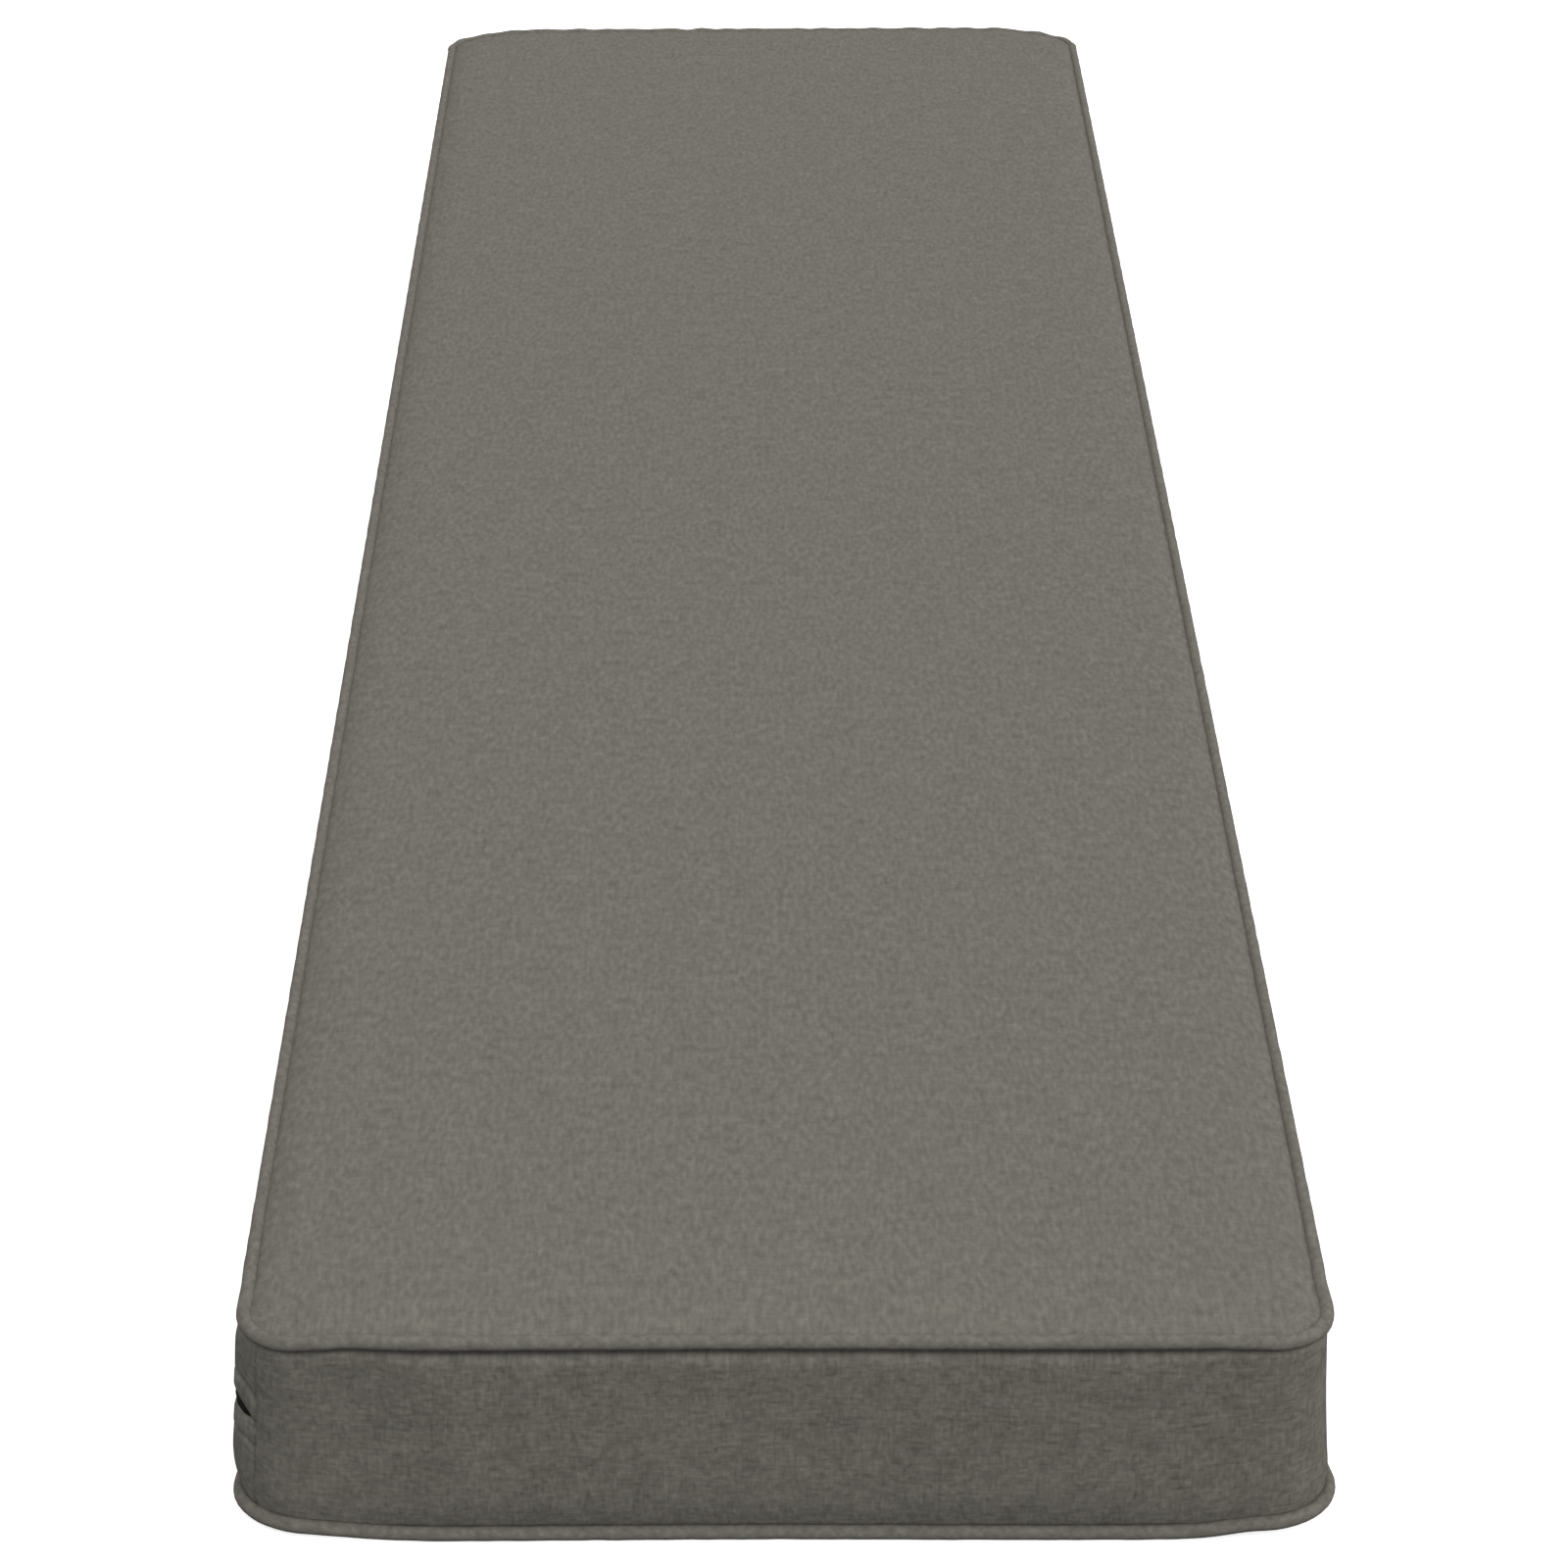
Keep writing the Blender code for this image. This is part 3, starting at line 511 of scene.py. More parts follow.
def cover_cloth(name, bias=0.0, grain=1.0, fleck=1.0, mottle=(0.22, 0.22), depth=0.45, blotch=0.2, crease=None):
    """Heathered plain weave: crossing threads, slubs, stray fibres and a soft fuzz.

    Bias is how far the cloth is turned. Grain, fleck, depth and blotch are the strengths of the threads, the
    slubs, the heather and the clouds, and mottle is the heather's scale both ways. A crease is painted shade:
    its place across the cloth, how wide it is fully dark, where it ends and its darkness. Scales are per thread.
    """
    weaver = Weaver(name)
    weave = look()
    flat = weaver.node("ShaderNodeUVMap", uv_map="cloth")
    turned = weaver.node("ShaderNodeMapping")
    weaver.link(flat.outputs["UV"], turned.inputs["Vector"])
    turned.inputs["Rotation"].default_value = (0.0, 0.0, bias)
    turned.inputs["Scale"].default_value = (1.0 / weave.thread_pitch,) * 3
    place = turned.outputs[0]
    drift = weaver.speckle(place, (0.10, 0.10, 0.10), detail=2.0, lift=3.0)
    parts = weaver.apart(place)
    drifted = weaver.maths("MULTIPLY", drift, 1.6)
    warp_place = weaver.maths("ADD", parts["X"], drifted)
    weft_place = weaver.maths("SUBTRACT", parts["Y"], drifted)
    warp_thread, weft_thread = weaver.maths("FLOOR", warp_place), weaver.maths("FLOOR", weft_place)

    def swell(spot):
        """How high a thread stands across its width."""
        centred = weaver.maths("SUBTRACT", weaver.maths("FRACT", spot), 0.5)
        return weaver.maths("COSINE", weaver.maths("MULTIPLY", centred, math.pi))

    def crossing(one, other):
        """How high a thread stands where it rises over the other one."""
        return weaver.maths("MULTIPLY", one, weaver.maths("MULTIPLY_ADD", other, 0.5, 0.5))

    def thread_shade(thread, along, lift):
        """Each thread's own shade, changing slowly along it."""
        joined = weaver.node("ShaderNodeCombineXYZ")
        weaver.link(weaver.maths("MULTIPLY", thread, 0.731), joined.inputs[0])
        weaver.link(weaver.maths("MULTIPLY", along, 0.11), joined.inputs[1])
        joined.inputs[2].default_value = lift
        return weaver.speckle(joined.outputs[0], (1.0, 1.0, 1.0), detail=1.0, lift=lift)

    warp_swell, weft_swell = swell(warp_place), swell(weft_place)
    over = weaver.maths("FLOORED_MODULO", weaver.maths("ADD", warp_thread, weft_thread), 2.0)
    height = weaver.mix(over, crossing(warp_swell, weft_swell), crossing(weft_swell, warp_swell))
    thread = weaver.mix(
        over, thread_shade(warp_thread, weft_place, 11.0), thread_shade(weft_thread, warp_place, 23.0),
    )
    slubs = [
        weaver.speckle(place, scale, detail=1.0, lift=lift)
        for scale, lift in (((0.12, 0.50, 1.0), 31.0), ((0.50, 0.12, 1.0), 47.0))
    ]
    light_fleck, dark_fleck = (
        weaver.maths("MAXIMUM", *(weaver.spread(slub, faint, full, 0.0, 1.0) for slub in slubs))
        for faint, full in ((0.54, 0.74), (0.46, 0.26))
    )
    fibres = weaver.speckle(place, (0.9, 0.9, 0.9), detail=3.0, roughness=0.65, lift=59.0)
    heather = weaver.speckle(place, (*mottle, 1.0), detail=1.5, roughness=0.45, lift=83.0)
    clouds = weaver.speckle(place, (0.085, 0.065, 0.085), detail=2.0, lift=71.0)
    tone = 0.5
    for value, middle, strength in (
        (height, 0.55, 0.14 * grain),
        (thread, 0.5, 0.36 * grain),
        (light_fleck, 0.0, 0.22 * fleck),
        (dark_fleck, 0.0, -0.20 * fleck),
        (fibres, 0.5, 0.24 * grain),
        (heather, 0.5, depth),
        (clouds, 0.5, blotch),
    ):
        tone = weaver.maths("MULTIPLY_ADD", weaver.maths("SUBTRACT", value, middle), strength, tone)
    base = np.array(linear(weave.cloth_colour))
    colour = weaver.colours(tone, (0.0, base * (0.46, 0.45, 0.42)), (0.5, base), (1.0, base * (1.62, 1.62, 1.64)))
    # painted shade: the colour is darkened along a band across the cloth, standing in for the shadow in a crevice
    if crease:
        middle_at, full, end, darkness = crease
        off = weaver.maths("ABSOLUTE", weaver.maths("SUBTRACT", weaver.apart(flat.outputs["UV"])["Y"], middle_at))
        shaded = weaver.node("ShaderNodeMix", data_type="RGBA", blend_type="MULTIPLY")
        weaver.link(weaver.spread(off, full, end, darkness, 0.0), shaded.inputs["Factor"])
        weaver.link(colour, shaded.inputs[6])
        shaded.inputs[7].default_value = (0.0, 0.0, 0.0, 1.0)
        colour = shaded.outputs[2]
    relief = weaver.maths("MULTIPLY_ADD", weaver.maths("SUBTRACT", fibres, 0.5), 1.1, height)
    relief = weaver.maths("MULTIPLY_ADD", light_fleck, 0.35 * fleck, relief)
    weaver.bump(relief, strength=0.22, distance=0.00028)
    return weaver.finish(
        colour, Roughness=0.93, Specular_IOR_Level=0.12, Sheen_Weight=weave.sheen, Sheen_Roughness=0.55,
        Sheen_Tint=(0.92, 0.90, 0.86, 1.0),
    )


def band_cloth(name, fleck, mottle, blotch):
    """The cover cloth of the sides, with painted shade in the crevice under the top cord."""
    return cover_cloth(name, grain=0.20, fleck=fleck, mottle=mottle, depth=0.50, blotch=blotch, crease=PAINTED_SHADE_UNDER_CORD)


def dark_tape():
    """Ribbed woven zip tape."""
    weaver = Weaver("zip tape")
    flat = weaver.node("ShaderNodeUVMap", uv_map="cloth")
    ribs = weaver.node("ShaderNodeTexWave", wave_type="BANDS", bands_direction="Y", wave_profile="SIN")
    weaver.link(flat.outputs["UV"], ribs.inputs["Vector"])
    for name, value in (("Scale", 500.0), ("Distortion", 0.3), ("Detail Scale", 2.0)):
        ribs.inputs[name].default_value = value
    rib = ribs.outputs["Fac"]
    specks = weaver.speckle(flat.outputs["UV"], (900.0, 2600.0, 1.0), detail=2.0)
    shade = weaver.maths("MULTIPLY_ADD", specks, 0.5, weaver.maths("MULTIPLY", rib, 0.5))
    base = np.array(linear(look().tape_colour))
    colour = weaver.colours(shade, (0.0, base * 0.6), (1.0, base * 1.5))
    weaver.bump(rib, strength=0.5, distance=0.0002)
    return weaver.finish(colour, Roughness=0.8, Specular_IOR_Level=0.2)


def sewing_thread():
    """Matt spun thread for the topstitching."""
    weaver = Weaver("sewing thread")
    spot = weaver.node("ShaderNodeTexCoord")
    twist = weaver.speckle(spot.outputs["Object"], (2500.0, 2500.0, 2500.0), detail=1.0)
    base = np.array(linear(look().cloth_colour))
    return weaver.finish(weaver.colours(twist, (0.0, base * 0.42), (1.0, base * 0.95)), Roughness=0.7)


# Pieces


def panel_points(plan, edge, height):
    """Block places of a panel at plan places given on a square-cornered sheet."""
    radius = sizes().corner_radius - edge
    core_x, core_y = half_width() - edge - radius, half_length() - edge - radius
    past = np.stack((np.abs(plan[:, 0]) - core_x, np.abs(plan[:, 1]) - core_y), -1)
    rounded = (past[:, 0] > 0) & (past[:, 1] > 0)
    reach = np.maximum(np.linalg.norm(past, axis=1), 1e-12)
    square = np.max(past, axis=1)
    drawn = past * (square / reach)[:, None]
    spot = np.array(plan)
    corner = np.sign(plan) * (np.array((core_x, core_y)) + drawn)
    spot[rounded] = corner[rounded]
    return np.column_stack((spot, np.full(len(spot), height)))


def make_panel(name, node, edge, height, step, facing):
    """A sheet of cover cloth over the whole top or underside."""
    wide, long = 2 * (half_width() - edge), 2 * (half_length() - edge)
    if facing > 0:
        close = (0.0, 0.0008, 0.0018, 0.0032, 0.0050, 0.0072, 0.0098, 0.0130, 0.0168, 0.0214)
    else:
        close = (0.0, 0.0040, 0.0100, 0.0214)
    across, along = stations(wide, step, close) - wide / 2, stations(long, step, close) - long / 2
    piece, column, row = add_grid(name, len(across), len(along))
    plan = np.column_stack((across[column], along[row]))
    block = panel_points(plan, edge, height)
    points = shaped(block)
    if facing > 0:
        inside, _, round_it = seam_line(block[:, :2])
        pucker = waves(round_it, (150, 196, 241, 289), 13) * smooth_fall(np.abs(inside - 0.0075), 0.0075)
        pull = waves(round_it, (61, 84, 113), 17) * smooth_fall(np.abs(inside - 0.016), 0.014)
        near_end = smooth_fall(block[:, 1] + half_length(), 0.030)
        left_groove, right_groove = 0.0010 * smooth_fall(inside, 0.0150), 0.0007 * smooth_fall(inside, 0.0080)
        groove = np.where(block[:, 0] < 0, left_groove, right_groove)
        points[:, 2] += 0.0009 * near_end * smooth_fall(inside, 0.010) - groove * (1.0 - near_end)
        points[:, 2] += 0.5 * sizes().seam_unevenness * pucker + 0.6 * sizes().seam_unevenness * pull
        easy = 1.0 - smooth_fall(inside, 0.05)
        slow = [noise.noise(Vector((x * 9.0, y * 6.0, 0.4))) for x, y in block[:, :2]]
        points[:, 2] += sizes().panel_unevenness * np.array(slow) * easy
    lay(piece, points, plan)
    if facing < 0:
        bpy.ops.object.mode_set(mode="EDIT")
        bpy.ops.mesh.select_all(action="SELECT")
        bpy.ops.mesh.flip_normals()
        bpy.ops.object.mode_set(mode="OBJECT")
    give_thickness(piece, SHEET)
    cloth = cover_cloth(name, grain=0.42, fleck=0.36, mottle=(0.29, 0.13), depth=0.60, blotch=0.20)
    finish_piece(piece, cloth, [node])


def body_columns():
    """Distances round the outline at which the body has a column of corners."""
    seam_steps = np.array((0.0, 0.0006, 0.0014, 0.0026, 0.0042, 0.0064))
    seams = (0.0, band_length())
    spots = [seam + way * seam_steps for seam in seams for way in (-1, 1)]
    plain = np.arange(0.0, outline_length(), 0.0042)
    clear = [abs(along_zip(spot)) > 0.0085 for spot in plain]
    everything = np.concatenate([plain[clear]] + spots) % outline_length()
    return np.unique(np.round(everything, 7))


def seam_groove(round_it):
    """How deep the cloth dips into an upright seam."""
    return 0.0011 * np.exp(-((along_zip(round_it) / 0.0013) ** 2))


def make_body():
    """The filled body, whose sides are the boxing band: closed, with its crown under the panel."""
    distances = body_columns()
    rims = UPPER_RIMS + tuple((sizes().seam_spacing - over, reach) for over, reach in LOWER_RIMS)
    below = np.unique(np.concatenate((
        [rim[0] for rim in rims], (0.0038,), LEVELS[:4, 0], np.linspace(0.0060, 0.0100, 6),
        np.linspace(0.0130, 0.0800, 20), np.linspace(0.0830, OVER_WELT, 7),
    )))
    insets, foot_insets = (0.0185, 0.0120, 0.0070, 0.0052), (0.0033, 0.0185)
    rows = len(insets) + len(below) + len(foot_insets)
    piece, column, row = add_grid("cushion_body", len(distances) + 1, rows)
    round_it = np.concatenate((distances, [distances[0] + outline_length()]))[column]
    place, out = on_outline(round_it)
    along = along_zip(round_it)
    top_row = rows - 1 - row
    drop = np.concatenate((np.zeros(len(insets)), below, np.zeros(len(foot_insets))))[top_row]
    reach = np.where(drop > 0, band_out(place, drop), 0.0)
    on_zip = along > 0.0003
    on_band = (drop > 0) & ~on_zip
    tape_back = SHEET + TAPE_GAP + TAPE_THICKNESS + 0.0006
    behind = np.abs(drop - read_table(ZIP_LINES, 2, along)) < TAPE_WIDTH / 2 + 0.0015
    zip_reach = strip_out(along, drop) - 0.0030
    tape_reach = strip_out(along, np.full(len(drop), UPPER_CREASE)) - tape_back
    zip_reach = np.where(behind, np.minimum(zip_reach, tape_reach), zip_reach)
    reach = np.where(on_zip & (drop > 0), zip_reach, reach - seam_groove(round_it))
    for spot, rim in rims:
        reach = np.where(np.abs(drop - spot) < 1e-6, rim, reach)
    fullness = smooth_fall(np.abs(drop - 0.046), 0.046)
    slack = waves(round_it, (23, 31, 44, 58), 19) * 0.00035 + waves(round_it, (88, 121, 160), 21) * 0.00012
    near_welt = smooth_fall(np.abs(drop - 0.0085), 0.0060) + smooth_fall(np.abs(drop - 0.0860), 0.0055)
    gather = waves(round_it, (171, 214, 263), 23) * 0.00012 * near_welt
    reach = reach + np.where(on_band, slack * fullness + gather, 0.0)
    block = np.column_stack((place + out * reach[:, None], top_seam() - drop))
    points = shaped(block)
    for index, inset in enumerate(insets):
        here = top_row == index
        plan = place[here] - out[here] * inset
        lid = np.column_stack((plan, np.full(len(plan), top_seam() + SHEET / 2)))
        points[here] = shaped(lid) - np.array((0.0, 0.0, SHEET + 0.0010 + 0.0006 * (inset < 0.006)))
    for index, inset in enumerate(foot_insets):
        here = top_row == len(insets) + len(below) + index
        plan = place[here] - out[here] * inset
        points[here] = shaped(np.column_stack((plan, np.full(len(plan), SHEET + 0.0004))))
    # across the cloth is the drop below the top seam, so the painted shade under the top cord falls just below the
    # seam
    lay(piece, points, np.column_stack((round_it, -drop)))
    sew_shut(piece)
    finish_piece(piece, band_cloth("band cloth", 0.82, (0.26, 0.26), 0.42), ["boxed_body"])


def make_welt(name, node, height, seed):
    """A covered cord sewn into a seam all round, with the slight lumps of its bias cover and painted shade on its
    underside.
    """
    count = int(outline_length() / 0.0034)
    around = 18
    piece, column, row = add_grid(name, count + 1, around + 1)
    round_it = outline_length() * column / count
    spot, spot_out = on_outline(round_it)
    on_top = height > top_seam() / 2
    slim = SLIM * on_top * (1.0 - smooth_fall(spot[:, 1] + half_length(), SLIM_START))

    def line(shift):
        place, out = on_outline(round_it + shift)
        inset = CORD_IN - slim * np.abs(out[:, 0])
        flat = np.column_stack((place - out * inset[:, None], np.full(len(place), height)))
        return shaped(flat) + (0.0, 0.0, CORD_UP)

    centre = line(0.0)
    run = line(0.002) - line(-0.002)
    run /= np.linalg.norm(run, axis=1)[:, None]
    side = np.cross(run, np.array((0.0, 0.0, 1.0)))
    side /= np.linalg.norm(side, axis=1)[:, None]
    up = np.cross(side, run)
    angle = 2 * math.pi * row / around
    twists = 420
    twill = np.sin(angle * 2 + round_it / outline_length() * 2 * math.pi * twists)
    lumps = 0.014 * waves(round_it, (143, 217, 301), seed) + 0.008 * twill * waves(round_it, (37, 59), seed + 1)
    radius = (sizes().cord_radius - slim * np.abs(spot_out[:, 0])) * (1.0 + lumps)
    points = centre + side * (np.cos(angle) * radius)[:, None] + up * (np.sin(angle) * radius)[:, None]
    if not on_top:
        points[:, 2] = np.maximum(points[:, 2], 0.0001)
    lay(piece, points, np.column_stack((round_it, sizes().cord_radius * angle)))
    sew_shut(piece, caps=False)
    # painted shade on the cord's underside, where it lies in shadow against the band below
    underside = (sizes().cord_radius * math.radians(305), 0.0004, 0.0030, 0.45)
    cloth = cover_cloth(name, bias=math.radians(45), grain=0.45, fleck=0.4, depth=0.6, crease=underside)
    finish_piece(piece, cloth, [node])


def zip_run(step, end_gap):
    """Distances round the outline along the zip's stretch, close together at its ends."""
    close = (0.0, 0.0008, 0.0018, 0.0030, 0.0045, 0.0065, 0.0090, 0.0120)
    length = outline_length() - band_length() - 2 * end_gap
    return band_length() + end_gap + stations(length, step, close)


def strip_section(upper):
    """Drop and depth round a folded strip's section, from its seam down the face, round the fold and back."""
    way = 1.0 if upper else -1.0
    seam, crease_at = (UNDER_WELT, UPPER_CREASE) if upper else (OVER_WELT, LOWER_CREASE)
    face, stitched = abs(SLIT - seam), abs(crease_at - seam)
    spots = np.concatenate((
        (0.0, 0.0004, 0.0008, 0.0014, 0.0021, 0.0031, 0.0056), np.linspace(0.0090, stitched - 0.0050, 9),
        stitched + np.array((-0.0034, -0.0023, -0.0015, -0.0008, 0.0, 0.0008, 0.0015, 0.0023, 0.0034)),
        np.linspace(stitched + 0.0052, face - 0.0022, 5),
    ))
    crease = 0.0017 * np.exp(-(((spots - stitched) / 0.0014) ** 2))
    pillow = 0.0004 * np.sin(np.clip((spots - stitched) / (face - stitched), 0.0, 1.0) * math.pi)
    rolled = 0.0006 * smooth_fall(face - spots, 0.0060)
    turn = np.linspace(0.0, math.pi, 7)
    fold_drop = face - 0.0010 + 0.0010 * np.sin(turn)
    fold_depth = 0.0006 + 0.0010 * (1.0 - np.cos(turn))
    inner = np.linspace(face - 0.0030, 0.0, 6)
    drop = np.concatenate((spots, fold_drop, inner))
    depth = np.concatenate((crease + rolled - pillow, fold_depth, np.full(6, SHEET)))
    return seam + way * drop, depth


def strip_drop(drop, along, upper):
    """Where a strip's corner lies below the top seam, once its crease and its lip are pulled to their lines."""
    seam, crease_at, column, way = (UNDER_WELT, UPPER_CREASE, 1, -1) if upper else (OVER_WELT, LOWER_CREASE, 3, 1)
    crease = read_table(ZIP_LINES, column, along)
    lip = read_table(ZIP_LINES, 2, along) + way * read_table(ZIP_LINES, 4, along)
    to_crease = np.clip((drop - seam) / (crease_at - seam), 0.0, 1.0)
    to_lip = np.clip((drop - crease_at) / (SLIT - crease_at), 0.0, 1.0)
    return seam + to_crease * (crease - seam) + to_lip * (lip - crease)


def make_strip(name, node, upper):
    """A folded strip of the cover cloth beside the slit."""
    distances = zip_run(0.0042, 0.0)
    drop, depth = strip_section(upper)
    rows = len(drop)
    piece, column, row = add_grid(name, len(distances), rows + 1)
    ring = row % rows
    round_it = distances[column]
    place, out = on_outline(round_it)
    along = along_zip(round_it)
    below = strip_drop(drop[ring], along, upper)
    reach = strip_out(along, drop[ring]) - depth[ring] - seam_groove(round_it)
    slack = waves(round_it, (19, 33, 52), 29 if upper else 31) * 0.0003
    ease = smooth_fall(np.abs(drop[ring] - SLIT), 0.034) * (1.0 - smooth_fall(along, 0.03))
    reach = reach + slack * ease
    below = below + waves(round_it, (27, 41, 66), 37) * 0.0003 * ease
    points = shaped(np.column_stack((place + out * reach[:, None], top_seam() - below)))
    girth = np.concatenate(([0.0], np.cumsum(np.hypot(np.diff(drop), np.diff(depth)))))
    girth = np.append(girth, girth[-1] + SHEET)
    # across the cloth runs on from the band's, so the upper strip takes the same painted shade under the top cord
    across = UNDER_WELT + girth[row] if upper else OVER_WELT - girth[row]
    lay(piece, points, np.column_stack((round_it, -across)))
    sew_shut(piece)
    finish_piece(piece, band_cloth(name, 0.8, (0.22, 0.22), 0.4), [node])


def make_tape():
    """The dark tape behind the slit."""
    distances = zip_run(0.0060, 0.0012)
    half = TAPE_WIDTH / 2
    coil = np.array((-1.0, -0.9, -0.65, -0.3, 0.0, 0.3, 0.65, 0.9, 1.0))
    rows = 2 * (len(coil) + 4)
    piece, column, row = add_grid("zip_tape_band", len(distances), rows + 1)
    ring = row % rows
    round_it = distances[column]
    place, out = on_outline(round_it)
    along = along_zip(round_it)
    opening = np.clip(read_table(ZIP_LINES, 4, along), 0.0, 1.0)
    coil_half = 0.0004 + 0.85 * opening
    coil_rise = 0.0005 + 0.0026 * (1.0 - smooth_fall(opening - 0.0005, 0.0018))
    front = ring < len(coil) + 4
    step = np.where(front, ring, rows - 1 - ring)
    on_coil = coil[np.clip(step - 2, 0, len(coil) - 1)]
    across = coil_half * on_coil
    for index, place_across in ((0, -half), (1, -half / 2), (len(coil) + 2, half / 2), (len(coil) + 3, half)):
        across = np.where(step == index, place_across, across)
    off_coil = (step < 2) | (step > len(coil) + 1)
    depth = np.where(front, np.where(off_coil, 0.0, -coil_rise * (1.0 - on_coil ** 4)), TAPE_THICKNESS)
    reach = strip_out(along, np.full(len(row), UPPER_CREASE)) - SHEET - TAPE_GAP - depth
    below = read_table(ZIP_LINES, 2, along) + across
    points = shaped(np.column_stack((place + out * reach[:, None], top_seam() - below)))
    lay(piece, points, np.column_stack((round_it, across)))
    sew_shut(piece)
    finish_piece(piece, dark_tape(), ["zip_tape"])


def make_stitching():
    """Topstitching along both strips: short stitches of thread, sunk at their ends."""
    length, pitch, thread_radius, ends_left = 0.0029, 0.0036, 0.00028, 0.004
    along_stitch = np.array((-0.5, -0.34, 0.0, 0.34, 0.5)) * length
    girth = np.array((0.35, 1.0, 1.05, 1.0, 0.35)) * thread_radius
    sunk = np.array((0.0006, 0.0001, -0.0001, 0.0001, 0.0006)) + 0.0015
    stops, around = len(along_stitch), 6
    total = outline_length() - band_length() - 2 * ends_left
    count = int(total / pitch)
    piece, column, row = add_grid("zip_topstitching", stops * 2 * count, around + 1)
    mesh = piece.data
    bridging = [min(column[list(face.vertices)]) % stops == stops - 1 for face in mesh.polygons]
    lower = column >= stops * count
    stitch, stop = column // stops % count, column % stops
    round_it = band_length() + ends_left + total * (stitch + 0.5) / count + along_stitch[stop]
    place, out = on_outline(round_it)
    along = along_zip(round_it)
    below = np.where(lower, read_table(ZIP_LINES, 3, along), read_table(ZIP_LINES, 1, along))
    reach = strip_out(along, np.where(lower, LOWER_CREASE, UPPER_CREASE)) - sunk[stop]
    centre = shaped(np.column_stack((place + out * reach[:, None], top_seam() - below)))
    angle = 2 * math.pi * row / around
    spin = np.column_stack((out * np.cos(angle)[:, None], np.sin(angle)))
    lay(piece, centre + spin * girth[stop][:, None], np.column_stack((round_it, thread_radius * angle)))
    bpy.ops.object.mode_set(mode="EDIT")
    bpy.ops.mesh.select_mode(type="FACE")
    bpy.ops.mesh.select_all(action="DESELECT")
    bpy.ops.object.mode_set(mode="OBJECT")
    mesh.polygons.foreach_set("select", bridging)
    bpy.ops.object.mode_set(mode="EDIT")
    bpy.ops.mesh.delete(type="FACE")
    bpy.ops.object.mode_set(mode="OBJECT")
    sew_shut(piece)
    finish_piece(piece, sewing_thread(), edge_degrees=60.0)


# Stage


def make_stage():
    """Pale floor, soft studio light and the camera."""
    pick()
    bpy.ops.mesh.primitive_plane_add(size=400.0, location=(0.0, 0.0, -0.0002))
    floor = bpy.context.object
    floor.name = "floor"
    paper = bpy.data.materials.new("pale paper")
    paper.use_nodes = True
    shader = paper.node_tree.nodes["Principled BSDF"]
    shader.inputs["Base Color"].default_value = (0.95, 0.95, 0.95, 1.0)
    shader.inputs["Roughness"].default_value = 0.9
    shader.inputs["Specular IOR Level"].default_value = 0.1
    shader.inputs["Emission Color"].default_value = (1.0, 1.0, 1.0, 1.0)
    shader.inputs["Emission Strength"].default_value = bpy.context.scene.cushion_stage.floor_glow
    floor.data.materials.append(paper)
    floor.visible_diffuse = False
    floor.visible_glossy = False
    stage = bpy.context.scene.cushion_stage
    world = bpy.data.worlds.new("studio")
    world.use_nodes = True
    tree = world.node_tree
    way = tree.nodes.new("ShaderNodeTexCoord")
    parts = tree.nodes.new("ShaderNodeSeparateXYZ")
    rise = tree.nodes.new("ShaderNodeMapRange")
    rise.inputs["From Min"].default_value, rise.inputs["From Max"].default_value = -0.03, -0.005
    rise.inputs["To Min"].default_value, rise.inputs["To Max"].default_value = stage.ground_light, stage.room_light
    tree.links.new(way.outputs["Generated"], parts.inputs[0])
    tree.links.new(parts.outputs["Z"], rise.inputs["Value"])
    tree.links.new(rise.outputs[0], tree.nodes["Background"].inputs["Strength"])
    tree.nodes["Background"].inputs["Color"].default_value = (1.0, 1.0, 1.0, 1.0)
    bpy.context.scene.world = world
    for name, energy, softness, comes_from in (
        ("front light", stage.front_light, stage.softness, stage.front_from),
        ("side light", stage.side_light, stage.softness, stage.side_from),
    ):
        data = bpy.data.lights.new(name, "SUN")
        data.energy = energy
        data.angle = softness
        lamp = bpy.data.objects.new(name, data)
        lamp.rotation_euler = Vector(comes_from).to_track_quat("Z", "Y").to_euler()
        bpy.context.scene.collection.objects.link(lamp)
    data = bpy.data.cameras.new("photo camera")
    data.lens = stage.lens
    data.sensor_width = 36.0
    data.clip_start, data.clip_end = 0.05, 500.0
    camera = bpy.data.objects.new("photo camera", data)
    camera.location = stage.camera_place
    camera.rotation_euler = (math.pi / 2 - stage.camera_tilt, 0.0, -stage.camera_turn)
    bpy.context.scene.collection.objects.link(camera)
    bpy.context.scene.camera = camera
    bpy.context.scene.view_settings.view_transform = "Standard"


# Settings


